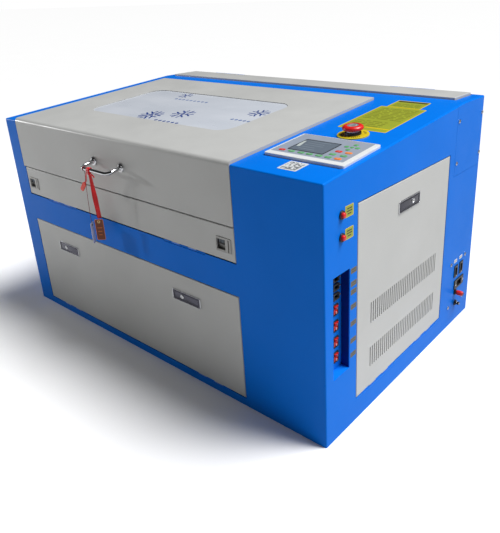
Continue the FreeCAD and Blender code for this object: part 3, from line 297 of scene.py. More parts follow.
def protective_film(name):
    """Pale film still on the window: faint cloudy bands and shallow wrinkles."""
    n = Nodes(name)
    cloud = n.noise(6.0, stretch=(1.0, 2.2, 1.0))
    wrinkle = n.noise(22.0, rough=0.55, stretch=(1.0, 3.0, 1.0), turn=(0, 0, 0.5))
    n.set(Base_Color=n.mix(n.span(cloud, 0.0, 1.0, *MIDDLE), (0.56, 0.60, 0.67), (0.62, 0.655, 0.72)))
    n.set(Roughness=n.span(cloud, 0.22, 0.34), Normal=n.bump(wrinkle, 0.25, 0.0006))
    n.set(Coat_Weight=0.3, Coat_Roughness=0.12)
    return n.material


# ---- the palette ----
BLUE_TONE = (0.0, 0.160, 0.70)
GREY_TONE = (0.49, 0.495, 0.485)
# painted shade: the dark blue of the switch recess's far wall
PAINTED_SHADE_BLUE = (0.001, 0.02, 0.16)
BLUE_COAT = {"grain": 420.0, "depth": 0.00012}
GREY_COAT = {"grain": 620.0, "rough": 0.36, "depth": 0.00014, "dust": 0.05, "gloss": 0.4}


def panel_paint(name, axis, sign, limit):
    """The doors' grey, with the hinge knuckles past the panel's edge in the cabinet's blue."""
    return painted(name, GREY_TONE, **GREY_COAT, beyond=(axis, sign, limit, BLUE_TONE))


BLUE = painted("blue_paint", BLUE_TONE, rough=0.32, dust=0.004, gloss=0.06, **BLUE_COAT)
GREY = painted("grey_paint", GREY_TONE, **GREY_COAT)
INNER = painted("inner_steel", (0.46, 0.47, 0.47), 500.0, 0.45, 0.00010, 0.05, 0.3)
STEEL = metal("steel", (0.58, 0.58, 0.59), 0.28, brush=(1.0, 1.0, 0.08))
ZINC = zinc("galvanised", (0.62, 0.63, 0.64))
CHROME = metal("chrome", (0.66, 0.67, 0.69), 0.07, depth=0.000005)
LOCK_METAL = metal("lock_metal", (0.10, 0.10, 0.125), 0.22, brush=(0.1, 1.0, 1.0))
ACRYLIC = glassy("clear_acrylic", (0.93, 0.95, 0.96), rough=0.02, ior=1.49)
GLASS = glassy("tube_glass", (0.94, 0.97, 0.96), rough=0.0, ior=1.47)
ALUMINIUM = metal("aluminium", (0.74, 0.745, 0.75), 0.32, brush=(0.06, 1.0, 1.0))
BRASS = metal("lens_brass", (0.78, 0.56, 0.25), 0.22, brush=(1.0, 1.0, 4.0))
COPPER = metal("copper", (0.80, 0.42, 0.28), 0.25)
BLACK = moulded("black_plastic", (0.012, 0.012, 0.014), 0.38)
RED = moulded("red_plastic", (0.62, 0.012, 0.010), 0.3)
WHITE = moulded("white_plastic", (0.66, 0.68, 0.69), 0.35, shade=0.06)
GREY_PLASTIC = moulded("grey_plastic", (0.265, 0.305, 0.375), 0.4, shade=0.06)
LATCH_GREY = moulded("latch_grey", (0.40, 0.40, 0.385), 0.38, shade=0.08)
CERAMIC = moulded("white_ceramic", (0.72, 0.71, 0.68), 0.25, shade=0.05)
KEY_GREEN = moulded("key_green", (0.10, 0.34, 0.13), 0.35)
KEY_RED = moulded("key_red", (0.62, 0.03, 0.02), 0.35)
KEY_ORANGE = moulded("key_orange", (0.75, 0.20, 0.03), 0.35)
FOB_RED = moulded("fob_red", (0.90, 0.045, 0.015), 0.3)
RIBBON = satin_ribbon("red_ribbon", (0.82, 0.006, 0.012))
DARK_CORD = satin_ribbon("dark_cord", (0.24, 0.008, 0.02))
FILM = protective_film("window_film")
BLUE_INK = printed("blue_ink", (0.012, 0.045, 0.23), 0.3, drift=0.4, scale=60.0)
PALE_INK = printed("pale_ink", (0.10, 0.16, 0.36), 0.3, drift=0.4, scale=60.0)
YELLOW = printed("yellow_film", (0.60, 0.46, 0.01), 0.35)
OLIVE = printed("olive_film", (0.29, 0.33, 0.025), 0.35, drift=0.2, scale=18.0)
OLIVE_INK = printed("olive_ink", (0.17, 0.185, 0.012))
DARK_INK = printed("dark_ink", (0.035, 0.03, 0.01))
MID_INK = printed("mid_ink", (0.18, 0.19, 0.20))
ROCKER_INK = printed("rocker_mark", (0.62, 0.36, 0.36))
SILVER_FILM = printed("silver_film", (0.62, 0.64, 0.65), 0.25)
LABEL = printed("label_film", (0.115, 0.105, 0.085))
CARD = printed("tag_card", (0.84, 0.80, 0.80), 0.6)
PALE_CARD = printed("pale_card", (0.86, 0.74, 0.76), 0.6)
BROWN_CARD = printed("brown_card", (0.20, 0.045, 0.015), 0.6)
ORANGE_EDGE = printed("orange_edge", (0.75, 0.20, 0.03), 0.5)
SCREEN = printed("screen", (0.125, 0.155, 0.195), 0.14, drift=0.12, scale=60.0)
SCREEN_PALE = printed("screen_pale", (0.46, 0.51, 0.50), 0.2)
SCREEN_DIM = printed("screen_dim", (0.20, 0.245, 0.29), 0.2)

SLOT_MATERIAL = {
    "blue_paint": BLUE, "grey_paint": GREY, "inner_steel": INNER, "steel": STEEL, "galvanised": ZINC,
    "chrome": CHROME, "lock_metal": LOCK_METAL, "clear_acrylic": ACRYLIC, "tube_glass": GLASS,
    "aluminium": ALUMINIUM, "lens_brass": BRASS, "black_plastic": BLACK, "red_plastic": RED,
    "white_plastic": WHITE, "grey_plastic": GREY_PLASTIC, "label_film": LABEL, "red_ribbon": RIBBON,
    "tag_card": CARD}
NODE_MATERIAL = {                           # the panels' limits are just past their hinge edges
    "lid_panel": panel_paint("lid_paint", "Y", 1, 468.2),
    "rear_cover": panel_paint("cover_paint", "Y", 1, 612.2),
    "flap_panel": panel_paint("flap_paint", "Z", -1, 315.8),
    "front_door": panel_paint("door_paint", "Z", -1, 19.4),
    "side_door": panel_paint("side_door_paint", "Z", -1, 49.8),
    # the switch recess is blue, with painted shade past y 73.3: its far wall in dark blue
    "switch_recess": painted("recess_blue_and_painted_shade", BLUE_TONE, rough=0.4, dust=0.008, gloss=0.1,
                             beyond=("Y", 1, 73.3, PAINTED_SHADE_BLUE), **BLUE_COAT),
    "flap_latch_frames": LATCH_GREY}
for entry in frame["record"]["subparts"]:
    skin = NODES[entry["node"]].data
    skin.materials.clear()
    skin.materials.append(NODE_MATERIAL.get(entry["node"], SLOT_MATERIAL[entry["material_slot"]]))


# ---- mesh pieces ----
TINY = 0.02                                 # smallest radius, so that no outline closes to a point
# A quarter circle in steps of 30 degrees: how far aside and how far below its top each point is.
QUARTER = [(1 - math.cos(math.radians(30 * k)), 1 - math.sin(math.radians(30 * k))) for k in range(4)]
CREASE = math.radians(38)                   # sharper edges than this are shaded as edges


def rounded(width, height, radius, steps=6):
    """The outline of a rounded rectangle, as a function of how far it is moved inwards."""
    def outline(inset=0.0):
        half_w, half_h = width / 2 - inset, height / 2 - inset
        r = max(radius - inset, TINY)
        points = []
        for mid_x, mid_y, start in ((half_w - r, half_h - r, 0), (r - half_w, half_h - r, 90),
                                    (r - half_w, r - half_h, 180), (half_w - r, r - half_h, 270)):
            for k in range(steps + 1):
                a = math.radians(start + 90 * k / steps)
                points.append((mid_x + r * math.cos(a), mid_y + r * math.sin(a)))
        return points
    return outline


def disc(radius, steps=48):
    """The outline of a circle, as a function of how far it is moved inwards."""
    def outline(inset=0.0):
        return [((radius - inset) * math.cos(math.tau * k / steps),
                 (radius - inset) * math.sin(math.tau * k / steps)) for k in range(steps)]
    return outline


def middle(bounds):
    """The centre of (x from, x to, y from, y to)."""
    return (bounds[0] + bounds[1]) / 2, (bounds[2] + bounds[3]) / 2


def filling(bounds, radius, grow=0.0, steps=6):
    """The rounded outline of those bounds, made wider and higher by grow."""
    return rounded(bounds[1] - bounds[0] + grow, bounds[3] - bounds[2] + grow, radius, steps)


class Piece:
    """One mesh with several materials, its vertices in the row frame."""

    def __init__(self, name):
        self.name = name
        self.mesh = bmesh.new()
        self.finishes = []

    def index(self, material):
        if material not in self.finishes:
            self.finishes.append(material)
        return self.finishes.index(material)

    def loop(self, place, points, height):
        return [self.mesh.verts.new(place @ Vector((x, y, height))) for x, y in points]

    def skin(self, rings, material, capped=True):
        """Faces between loops of as many vertices, closed at both ends if capped."""
        kind = self.index(material)
        faces = []
        for low, high in zip(rings, rings[1:]):
            for k in range(len(low)):
                n = (k + 1) % len(low)
                faces.append(self.mesh.faces.new((low[k], low[n], high[n], high[k])))
        if capped:
            faces.append(self.mesh.faces.new(list(reversed(rings[0]))))
            faces.append(self.mesh.faces.new(rings[-1]))
        for face in faces:
            face.material_index = kind

    def block(self, place, outline, low, high, material, bevel=0.0):
        """A plate with an optional rounded upper edge."""
        rings = [self.loop(place, outline(), low)]
        for aside, below in QUARTER if bevel else [(0.0, 0.0)]:
            rings.append(self.loop(place, outline(bevel * aside), high - bevel * below))
        self.skin(rings, material)

    def rim(self, place, outer, inner, low, high, material, bevel=0.4):
        """A frame between two outlines with as many points, its upper edges rounded."""
        rings = [self.loop(place, outer(), low)]
        for aside, below in QUARTER:
            rings.append(self.loop(place, outer(bevel * aside), high - bevel * below))
        for aside, below in reversed(QUARTER):
            rings.append(self.loop(place, inner(-bevel * aside), high - bevel * below))
        rings.append(self.loop(place, inner(), low))
        self.skin(rings + [rings[0]], material, capped=False)

    def turned(self, place, profile, material, steps=40):
        """A solid of revolution about local z from (radius, height) points."""
        rings = [self.loop(place, disc(max(r, TINY), steps)(), h) for r, h in profile]
        self.skin(rings, material)

    def swept(self, points, radius, material, sides=12, flat=1.0, up=Z):
        """A round or flattened bar along points of the row frame; radius in mm."""
        rings = []
        for k, point in enumerate(points):
            ahead = (points[min(k + 1, len(points) - 1)] - points[max(k - 1, 0)]).normalized()
            side = ahead.cross(up)
            side = side.normalized() if side.length > 0.02 else X.copy()
            over = side.cross(ahead).normalized()
            size = (radius[k] if isinstance(radius, (list, tuple)) else radius) * MM
            rings.append([self.mesh.verts.new(point + side * size * math.cos(math.tau * j / sides)
                                              + over * size * flat * math.sin(math.tau * j / sides))
                          for j in range(sides)])
        self.skin(rings, material)

    def done(self, body, replaced=()):
        """Make the object, put it on its body's empty, and hide the CAD parts that it replaces."""
        bmesh.ops.recalc_face_normals(self.mesh, faces=self.mesh.faces)
        data = bpy.data.meshes.new(self.name)
        self.mesh.to_mesh(data)
        self.mesh.free()
        for material in self.finishes:
            data.materials.append(material)
        data.shade_smooth()
        data.set_sharp_from_angle(angle=CREASE)
        piece = bpy.data.objects.new(self.name, data)
        bpy.context.scene.collection.objects.link(piece)
        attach(piece, body)
        if replaced:
            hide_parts(*replaced)
        return piece


# ---- window film with generic printed motifs ----
WINDOW, WINDOW_R = (165.0, 643.0, 128.0, 353.0), 36.0
FILM_UP, FILM_T = -SHEET + 0.06, 0.25
INK_UP, INK_T = FILM_UP + FILM_T, 0.05
# A petal: how far out it lies, its length and width as shares of the size, and degrees aside.
PETALS = ((0.32, 0.26, 0.15, 0.0), (0.56, 0.24, 0.10, 13.0), (0.56, 0.24, 0.10, -13.0))
DOT = 7.5
film = Piece("window_film")
film.block(on_lid(*middle(WINDOW), FILM_UP), filling(WINDOW, WINDOW_R - 0.5, -1.0, 12), 0, FILM_T, FILM)


def rosette(x, y, size, ink, arms, turn):
    """A generic ornament: arms of short petals round a dot."""
    film.block(on_lid(x, y, INK_UP), disc(size * 0.13, 16), 0, INK_T, ink)
    for k in range(arms):
        for reach, long_side, wide, aside in PETALS:
            a = turn + 360 * k / arms
            place = on_lid(*polar((x, y), size * reach, a + aside), INK_UP, a + 2 * aside)
            film.block(place, rounded(size * long_side, size * wide, size * 0.045), 0, INK_T, ink)


def dots(x0, x1, y, count, ink):
    """A row of small lozenges."""
    for k in range(count):
        place = on_lid(x0 + (x1 - x0) * k / (count - 1), y, INK_UP, 45)
        film.block(place, rounded(DOT, DOT, DOT * 0.2, 2), 0, INK_T, ink)


rosette(371, 162, 46, BLUE_INK, 7, 20)
rosette(442, 197, 44, BLUE_INK, 6, 0)
dots(420, 490, 137, 6, BLUE_INK)
rosette(302, 330, 30, BLUE_INK, 5, 10)
dots(304, 414, 296, 9, PALE_INK)
rosette(612, 268, 38, BLUE_INK, 6, 30)
dots(588, 636, 208, 5, PALE_INK)
film.done("lid")

# ---- handle feet ----
HANDLE_X, HANDLE_Z = (371.0, 467.0), 447.0
HANDLE_OUT, HANDLE_DROP = 34.0, 7.0         # the bar, from the lid's front and below the feet
FOOT = [(9.6, SIT), (9.6, 1.6), (9.0, 2.6), (7.2, 3.2), (5.6, 3.6), (5.0, 4.6), (4.3, 5.4), (4.05, 7.0)]
feet = Piece("handle_feet")
for foot_x in HANDLE_X:
    feet.turned(on_front(foot_x, HANDLE_Z - 0.4), FOOT, CHROME)
feet.done("lid")

# ---- flush locks: bright rims, dark paddles, key cylinders ----
LOCK_LONG, LOCK_HIGH = 84.0, 24.0
PADDLE_LONG, PADDLE_HIGH, PADDLE_FACE = 73.6, 16.0, 1.2
KEY = [(5.0, PADDLE_FACE), (5.0, 1.9), (4.5, 2.3), (3.6, 2.3), (3.4, 2.0), (0.3, 2.0)]
FRONT_LOCKS, FRONT_LOCK_Z = {"left": 196.5, "right": 631.0}, 196.0
SIDE_LOCK = (278.5, 391.0)


def lock_rim(name, place, body):
    """The bright rim of a lock's case and the dark step inside it."""
    step = rounded(LOCK_LONG - 3.0, LOCK_HIGH - 3.0, 1.8)
    rim = Piece(name)
    rim.rim(place, rounded(LOCK_LONG + 0.6, LOCK_HIGH + 0.6, 3.3), step, 0.0, 1.8, CHROME, 0.7)
    rim.rim(place, step, rounded(LOCK_LONG - 7.4, LOCK_HIGH - 6.4, 1.6), 0.6, 1.3, LOCK_METAL, 0.2)
    rim.done(body)


def paddle_face(name, place, body, key_at):
    """The paddle's pressed face with a finger edge and the key cylinder."""
    face = Piece(name)
    face.block(place, rounded(PADDLE_LONG, PADDLE_HIGH, 1.5), 0.7, PADDLE_FACE + 0.05, LOCK_METAL, 0.4)
    face.rim(place, rounded(PADDLE_LONG - 2.6, PADDLE_HIGH - 2.6, 1.2),
             rounded(PADDLE_LONG - 4.2, PADDLE_HIGH - 4.2, 1.0), PADDLE_FACE, 1.5, LOCK_METAL, 0.1)
    key = moved(place, key_at)
    face.turned(key, KEY, CHROME)
    # The keyway is painted shade: a thin dark bar on the key cylinder's face.
    face.block(key, rounded(1.0, 4.6, 0.4), 2.0, 2.1, BLACK)
    face.done(body)


for side_name, lock_x in FRONT_LOCKS.items():
    place = on_front(lock_x, FRONT_LOCK_Z)
    lock_rim("front_lock_rim_" + side_name, place, "front_door")
    paddle_face("front_paddle_face_" + side_name, place, "front_paddle_" + side_name, -12.0)
lock_rim("side_lock_rim", on_side(*SIDE_LOCK), "side_door")
paddle_face("side_paddle_face", on_side(*SIDE_LOCK), "side_paddle", 13.0)

# ---- slide latches of the flap ----
LATCH_X, LATCH_Z = {"left": 85.0, "right": 754.0}, 346.0
LATCH_SLOT, GRIP = (13.0, -3.9), (-6.5, 4.2, -2.55)      # the slot's x and depth, the slide's ribs
for side_name, latch_x in LATCH_X.items():
    place = on_front(latch_x, LATCH_Z)
    rim = Piece("latch_rim_" + side_name)
    rim.rim(place, rounded(38.4, 29.4, 2.2), rounded(34.8, 25.8, 1.4), 0.0, 1.5, LATCH_GREY, 0.5)
    # The slot is painted shade: a thin dark strip at its bottom.
    rim.block(moved(place, LATCH_SLOT[0], 0, LATCH_SLOT[1]), rounded(2.9, 23.9, 0.3), 0, 0.2, BLACK)
    rim.done("flap")
    grip = Piece("latch_grip_" + side_name)
    for step in (-5.0, -1.5, 2.0, 5.5):
        rib = moved(place, GRIP[0] + step, GRIP[1], GRIP[2])
        grip.block(rib, rounded(1.3, 11.2, 0.5), 0, 1.1, SCREEN_DIM, 0.4)
    grip.done("flap_latch_" + side_name)

# ---- control panel ----
PANEL, PANEL_H = (804.0, 971.0, 66.0, 183.0), 5.0
FACE, FACE_SINK, FACE_T = (806.5, 961.0, 80.0, 181.0), 0.4, 0.1
DISPLAY = (832.0, 906.0, 100.0, 156.0)
FACE_UP = PANEL_H - FACE_SINK
KEYS_UP, SCREEN_T, LIT_T = FACE_UP + FACE_T, 0.3, 0.04
KEY_HIGH, KEY_ROUND = 0.75, 0.5
KEY_ROWS = (                                # each row's y, then its keys' x and colour
    (91.5, ((825.0, KEY_RED), (846.0, KEY_GREEN), (867.0, KEY_GREEN), (885.0, KEY_GREEN),
            (905.0, KEY_GREEN), (924.0, KEY_GREEN), (943.5, KEY_ORANGE))),
    (107.0, ((922.5, KEY_GREEN), (944.5, KEY_GREEN))),
    (122.8, ((924.0, KEY_RED), (944.0, KEY_ORANGE))))
ARROWS = (933.0, 150.0)
ARROW_STEPS = ((13, 0), (-13, 0), (0, 13), (0, -13))

trim = Piece("control_trim")
# The black band beneath the white rim is painted shade, for the shadow line under the bezel's edge.
trim.block(on_deck(*middle(PANEL)), filling(PANEL, 3.6, -2.4), SIT, 2.0, BLACK)
trim.rim(on_deck(*middle(PANEL)), filling(PANEL, 4.2, 0.4), filling(PANEL, 2.6, -3.0), 2.0, PANEL_H + 0.25,
         WHITE, 1.1)
trim.done("cabinet")

keys = Piece("control_keys")
screen = on_deck(*middle(DISPLAY), KEYS_UP)
keys.block(on_deck(*middle(FACE), FACE_UP), filling(FACE, 2.0, -0.6), 0.0, FACE_T, GREY_PLASTIC)
keys.rim(screen, filling(DISPLAY, 2.0, 3.0), filling(DISPLAY, 1.2, -1.0), 0.0, 0.5, BLACK, 0.2)
keys.block(screen, filling(DISPLAY, 1.0, -1.0), SIT, SCREEN_T, SCREEN)
# A pale patch on the screen is a painted reflection.
painted_reflection = on_deck(DISPLAY[0] + 4.0, 133.0, KEYS_UP + SCREEN_T, 12.0)
keys.block(painted_reflection, rounded(7.0, 30.0, 1.5, 3), 0.0, LIT_T, SCREEN_PALE)
for k, long_side in enumerate((44.0, 36.0, 40.0, 28.0, 34.0)):
    line = on_deck(DISPLAY[0] + 14 + long_side / 2, 149 - 9.5 * k, KEYS_UP + SCREEN_T)
    keys.block(line, rounded(long_side, 1.6, 0.6, 3), 0.0, LIT_T, SCREEN_DIM)
for key_y, row in KEY_ROWS:
    for key_x, colour in row:
        place = on_deck(key_x, key_y, KEYS_UP)
        keys.block(place, rounded(13.5, 8.0, 3.4), 0.0, KEY_HIGH, colour, KEY_ROUND)
        keys.block(on_deck(key_x, key_y, KEYS_UP + KEY_HIGH), rounded(5.0, 1.0, 0.4, 3), 0.0, LIT_T,
                   SCREEN_PALE)
for step_x, step_y in ARROW_STEPS:
    place = on_deck(ARROWS[0] + step_x * 0.85, ARROWS[1] + step_y, KEYS_UP)
    keys.block(place, rounded(9.0, 8.0, 3.2), 0.0, KEY_HIGH, KEY_GREEN, KEY_ROUND)
keys.block(on_deck(*ARROWS, KEYS_UP), rounded(7.0, 6.5, 2.8), 0.0, KEY_HIGH, KEY_GREEN, KEY_ROUND)
keys.done("cabinet")

# ---- stop switch ----
STOP = (886.0, 224.5)
RING_TOP, DASH_R, COLLAR_R, ARROW_R = 2.35, 22.8, 12.6, 6.6
CAP_LOW, CAP_TOP, CAP_R = 11.4, 7.5, 20.3   # the cap's lower edge, its face above that, its radius
ring = Piece("stop_ring")
ring.rim(on_deck(*STOP), disc(30.3, 64), disc(15.2, 64), 0.0, RING_TOP, YELLOW, 0.4)
for k in range(4):
    for j in range(-2, 3):
        a = 45 + 90 * k + 9 * j
        dash = on_deck(*polar(STOP, DASH_R, a), RING_TOP, a)
        ring.block(dash, rounded(5.6 - abs(j), 1.6, 0.3, 3), 0, INK_T, DARK_INK)
ring.rim(on_deck(*STOP), disc(15.6, 64), disc(COLLAR_R, 64), 0.2, 6.5, BLACK, 0.5)
ring.done("cabinet")

band = Piece("stop_band")                   # narrower than the collar, so that it moves through it
band.rim(on_deck(*STOP), disc(12.235, 96), disc(12.1, 96), 7.0, 9.2, SILVER_FILM, 0.02)
band.done("stop_stem")

cap = Piece("stop_cap_face")
cap_place = on_deck(*STOP, CAP_LOW)
cap.turned(cap_place, [(18.4, -0.05), (19.6, 0.4), (CAP_R, 1.6), (CAP_R, 3.6), (19.5, 5.6), (17.4, 7.3),
                       (14.6, 8.1), (12.4, 8.25), (11.4, 7.9), (11.1, 7.3), (0.3, 7.2)], RED, 64)
cap.turned(cap_place, [(10.9, CAP_TOP - 0.25), (10.9, CAP_TOP - 0.05), (0.3, CAP_TOP)], MID_INK, 48)
for k in range(3):
    a = 120 * k + 20
    arrow = on_deck(*polar(STOP, ARROW_R, a), CAP_LOW + CAP_TOP, a + 90)
    cap.block(arrow, rounded(6.4, 1.5, 0.7, 3), 0, 0.08, SILVER_FILM)
cap.done("stop_cap", ["stop_cap"])

# ---- stickers and labels ----
LABEL_T, BORDER_TOP = 0.25, 0.3             # a label, and the printed field of a yellow one
CODE, CODE_CELLS, CODE_CELL = (888.0, 43.0), 12, 2.6
LABEL_Y, LABEL_Z = 85.5, (325.0, 300.0, 284.0, 255.0, 221.0, 186.0, 156.0)
SIGNAL_Y, SIGNAL_Z = (532.0, 561.5), 141.5
BUTTON_Y, BUTTON_Z = 49.0, {"upper": 437.0, "lower": 398.0}
stickers = Piece("stickers")
rng = random.Random(7)


def bars(x, y, width, height, rows):
    """Rows of broken bars that stand for print without being lettering."""
    pitch = height / rows
    for k in range(rows):
        start = -width / 2
        row_y = height / 2 - pitch * (k + 0.5)
        while start < width / 2 - 2:
            run = min(rng.uniform(0.12, 0.4) * width, width / 2 - start)
            place = moved(on_deck(x, y), start + run / 2, row_y, BORDER_TOP)
            stickers.block(place, rounded(run, pitch * 0.42, 0.3, 2), 0, INK_T, OLIVE_INK)
            start += run + rng.uniform(0.03, 0.08) * width


def yellow_label(place, wide, high, border, radius, field_radius):
    """A yellow label with a printed olive field."""
    stickers.block(place, rounded(wide, high, radius), 0.0, LABEL_T, YELLOW)
    field = rounded(wide - 2 * border, high - 2 * border, field_radius)
    stickers.block(place, field, LABEL_T, BORDER_TOP, OLIVE)


def strip(place, wide, high, ink, radius=0.3, thick=INK_T):
    """A thin printed bar."""
    stickers.block(place, rounded(wide, high, radius, 2), 0, thick, ink)


yellow_label(on_deck(881.0, 341.5), 108.0, 168.0, 2.5, 3.0, 1.5)
yellow_label(on_deck(879.0, 453.0), 78.0, 54.0, 2.5, 3.0, 1.5)
bars(881.0, 372.0, 88.0, 84.0, 9)
bars(872.0, 300.0, 70.0, 40.0, 4)
strip(on_deck(905.0, 276.0, BORDER_TOP), 52.0, 5.0, YELLOW, 0.5, 0.06)
bars(879.0, 445.0, 62.0, 26.0, 3)
strip(on_deck(879.0, 472.0, BORDER_TOP), 70.0, 9.0, DARK_INK, 0.5, 0.06)

stickers.block(on_deck(*CODE), rounded(39.0, 38.0, 1.5), 0.0, LABEL_T, SILVER_FILM)
for row in range(CODE_CELLS):
    for column in range(CODE_CELLS):
        if rng.random() < 0.5:
            x, y = CODE[0] + (column - 5.5) * CODE_CELL, CODE[1] + (row - 5.5) * CODE_CELL
            stickers.block(on_deck(x, y, LABEL_T), rounded(CODE_CELL, CODE_CELL, 0.1, 1), 0, INK_T, MID_INK)

for z in LABEL_Z:
    stickers.block(on_side(LABEL_Y, z), rounded(18.0, 10.0, 0.8), 0, LABEL_T, LABEL)
    for step in (-2.0, 2.0):
        strip(on_side(LABEL_Y, z + step, LABEL_T), 13.0, 1.3, DARK_INK)
for y in SIGNAL_Y:
    stickers.block(on_side(y - 4.0, 169.5), rounded(16.0, 8.0, 0.8), 0, LABEL_T, SILVER_FILM)
    strip(on_side(y - 4.0, 169.5, LABEL_T), 11.0, 2.0, MID_INK)
for z in BUTTON_Z.values():
    label_y, label_z = BUTTON_Y + 22.0, z + 1.0
    yellow_label(on_side(label_y, label_z), 24.0, 20.0, 1.2, 1.0, 0.6)
    for step, long_side in ((4.5, 14.0), (0.0, 16.0), (-4.5, 11.0)):
        strip(on_side(label_y, label_z + step, BORDER_TOP), long_side, 2.2, DARK_INK)
stickers.done("cabinet", ["label_plates"])

# ---- push buttons ----
DOME = [(4.85, 2.2), (4.85, 5.2), (4.6, 6.0), (3.9, 6.6), (2.4, 7.0), (0.3, 7.1)]
for side_name, z in BUTTON_Z.items():
    dome = Piece("button_dome_" + side_name)
    dome.turned(on_side(BUTTON_Y, z), DOME, RED)
    dome.done("push_button_" + side_name)
bezels = Piece("button_bezels")
for z in BUTTON_Z.values():
    bezels.rim(on_side(BUTTON_Y, z), disc(7.7), disc(5.15), SIT, 2.8, BLACK, 0.9)
bezels.done("cabinet")

# ---- rockers and sockets in the recess ----
BACK = -18.0                                # the recess's back wall
ROCKER_Y, ROCKER_Z, ROCKER_TILT = 55.0, (256.0, 223.5, 190.5, 159.0), 9.0
SOCKET_Z, SOCKET_SCREWS = (317.0, 300.0, 282.0), (-11.5, 11.5)
HEX_NUT = [(2.4, 0.0), (2.4, 2.2), (1.8, 3.0), (0.2, 3.1)]
frames = Piece("rocker_rims")
for z in ROCKER_Z:
    frames.rim(on_side(ROCKER_Y, z, BACK), rounded(15.6, 21.6, 1.6), rounded(12.4, 18.4, 0.8), 0.0, 2.2,
               BLACK, 0.6)
for z in SOCKET_Z:
    place = on_side(ROCKER_Y, z, BACK)
    frames.rim(place, rounded(17.5, 12.5, 1.0), rounded(12.2, 7.2, 0.5), 0.0, 3.6, BLACK, 0.5)
    for step in SOCKET_SCREWS:
        frames.turned(moved(place, step), HEX_NUT, STEEL, 6)
frames.done("cabinet")
for k, z in enumerate(ROCKER_Z):
    mark = Piece("rocker_mark_%d" % (k + 1))
    place = spun(on_side(ROCKER_Y, z, BACK - 1.0), ROCKER_TILT, "X")
    mark.block(moved(place, 0, 4.6), rounded(0.8, 3.4, 0.3, 3), 3.2, 5.2, ROCKER_INK)
    mark.rim(moved(place, 0, -4.6), disc(1.8, 24), disc(1.3, 24), 3.2, 5.2, ROCKER_INK, 0.1)
    mark.done("rocker_%d" % (k + 1))

# ---- lower rear of the right side: signal sockets, inlet, hose barbs ----
INLET, INLET_SCREWS = (553.0, 104.0), (-20.0, 20.0)
RED_BARB, RED_REACH = (537.0, 83.0), 22.0
BARE_BARB, BARE_REACH = (541.0, 52.0), 12.0
BARB_NUT = [(7.2, SIT), (7.2, 3.2), (6.2, 3.8), (4.6, 3.8)]
service = Piece("service_details")
for y in SIGNAL_Y:
    place = on_side(y, SIGNAL_Z)
    service.rim(place, rounded(15.6, 27.6, 1.4), rounded(9.4, 20.0, 0.8), SIT, 2.2, BLACK, 0.6)
    for step in (-11.7, 11.7):
        service.turned(moved(place, 0, step), [(1.7, 1.6), (1.7, 2.8), (0.2, 2.9)], STEEL, 6)
place = on_side(*INLET)
service.rim(place, rounded(50.4, 23.4, 3.0), rounded(25.0, 17.0, 2.0), SIT, 2.4, BLACK, 0.7)
for step in INLET_SCREWS:
    service.turned(moved(place, step), [(3.0, 2.2), (3.0, 3.0), (2.2, 3.8), (0.2, 4.0)], STEEL, 24)
service.turned(on_side(*RED_BARB), BARB_NUT, BLACK, 6)
service.turned(on_side(*RED_BARB), [(4.7, 5.0), (5.6, 6.0), (6.0, 9.0), (5.8, RED_REACH - 3.0),
                                    (4.4, RED_REACH - 0.6), (0.3, RED_REACH)], RED, 32)
service.turned(on_side(*BARE_BARB), BARB_NUT, BLACK, 6)
service.turned(on_side(*BARE_BARB), [(3.6, 3.0), (3.6, 6.5), (4.1, 7.0), (3.2, 9.5), (3.7, 10.0),
                                     (2.8, BARE_REACH), (0.3, BARE_REACH)], STEEL, 32)
service.done("cabinet")

# ---- screws of the covers ----
SIDE_SCREWS = ((489.0, 510.0), (612.0, 510.0), (489.0, 418.0), (612.0, 418.0),
               (503.0, 168.0), (581.0, 168.0), (502.0, 54.0), (581.0, 54.0))
SIDE_HEAD = [(4.2, SIT), (4.2, 1.1), (3.4, 1.9), (2.0, 2.3), (0.2, 2.4)]
REAR_SCREW_X, REAR_SCREW_Z = (24.0, 334.0, 646.0, 956.0), (22.0, 520.0)
REAR_HEAD = [(4.0, SIT), (4.0, 0.9), (3.2, 1.6), (1.8, 2.0), (0.2, 2.1)]


def cross_screw(piece, place, head):
    """A domed screw head whose cross recess is painted shade: two dark bars near its top."""
    piece.turned(place, head, STEEL, 32)
    cross_long, cross_up = head[0][0], head[-2][1]
    for turn in (0, 90):
        piece.block(spun(place, turn), rounded(cross_long, 0.9, 0.2, 2), cross_up, cross_up + 0.16, BLACK)


crosses = Piece("screw_heads")
for k, (y, z) in enumerate(SIDE_SCREWS):
    cross_screw(crosses, on_side(y, z, turn=17.0 * k), SIDE_HEAD)
crosses.done("cabinet", ["cover_screws"])
rear_screws = Piece("rear_screws")
for x in REAR_SCREW_X:
    for z in REAR_SCREW_Z:
        cross_screw(rear_screws, on_rear(x, z, turn=11.0 * x), REAR_HEAD)
rear_screws.done("cabinet")

# ---- ribbon, string and tags on the handle ----
BAR = (-HANDLE_OUT, HANDLE_Z - HANDLE_DROP)              # the handle's bar: layout y and z
RIBBON_X, RIBBON_TOP_Z, RIBBON_END_Z = 404.0, 435.0, 333.0
RIBBON_TURN, RIBBON_LEAN = 33.0, 5.0                     # degrees about z, mm aside at its end
ACROSS = Vector((math.cos(math.radians(RIBBON_TURN)), math.sin(math.radians(RIBBON_TURN)), 0))
HALF_TOP, HALF_MORE, HALF_T = 3.0, 2.25, 0.32            # half its width, what it gains, half its thickness
RIBBON_ROW = 9                                           # points across the ribbon
WRAP_R, WRAPS = 4.9, ((-3.2, 5.0), (2.6, -6.0), (-0.4, 14.0))   # x from the ribbon, degrees of lean
BAND = ((-2.5, -0.35), (2.5, -0.35), (2.7, 0.1), (1.2, 0.55), (-1.2, 0.55), (-2.7, 0.1))
LUMP = [(0.5, -3.6), (3.6, -2.8), (4.9, -0.6), (4.6, 1.6), (2.8, 2.9), (0.4, 3.2)]
STRING_R, LOOP_R, LOOP_STEPS = 0.5, 4.55, 24
STRING = [at(386, -34, 435.2), at(384.5, -36, 398), at(380, -35, 352), at(374, -31.5, 315)]


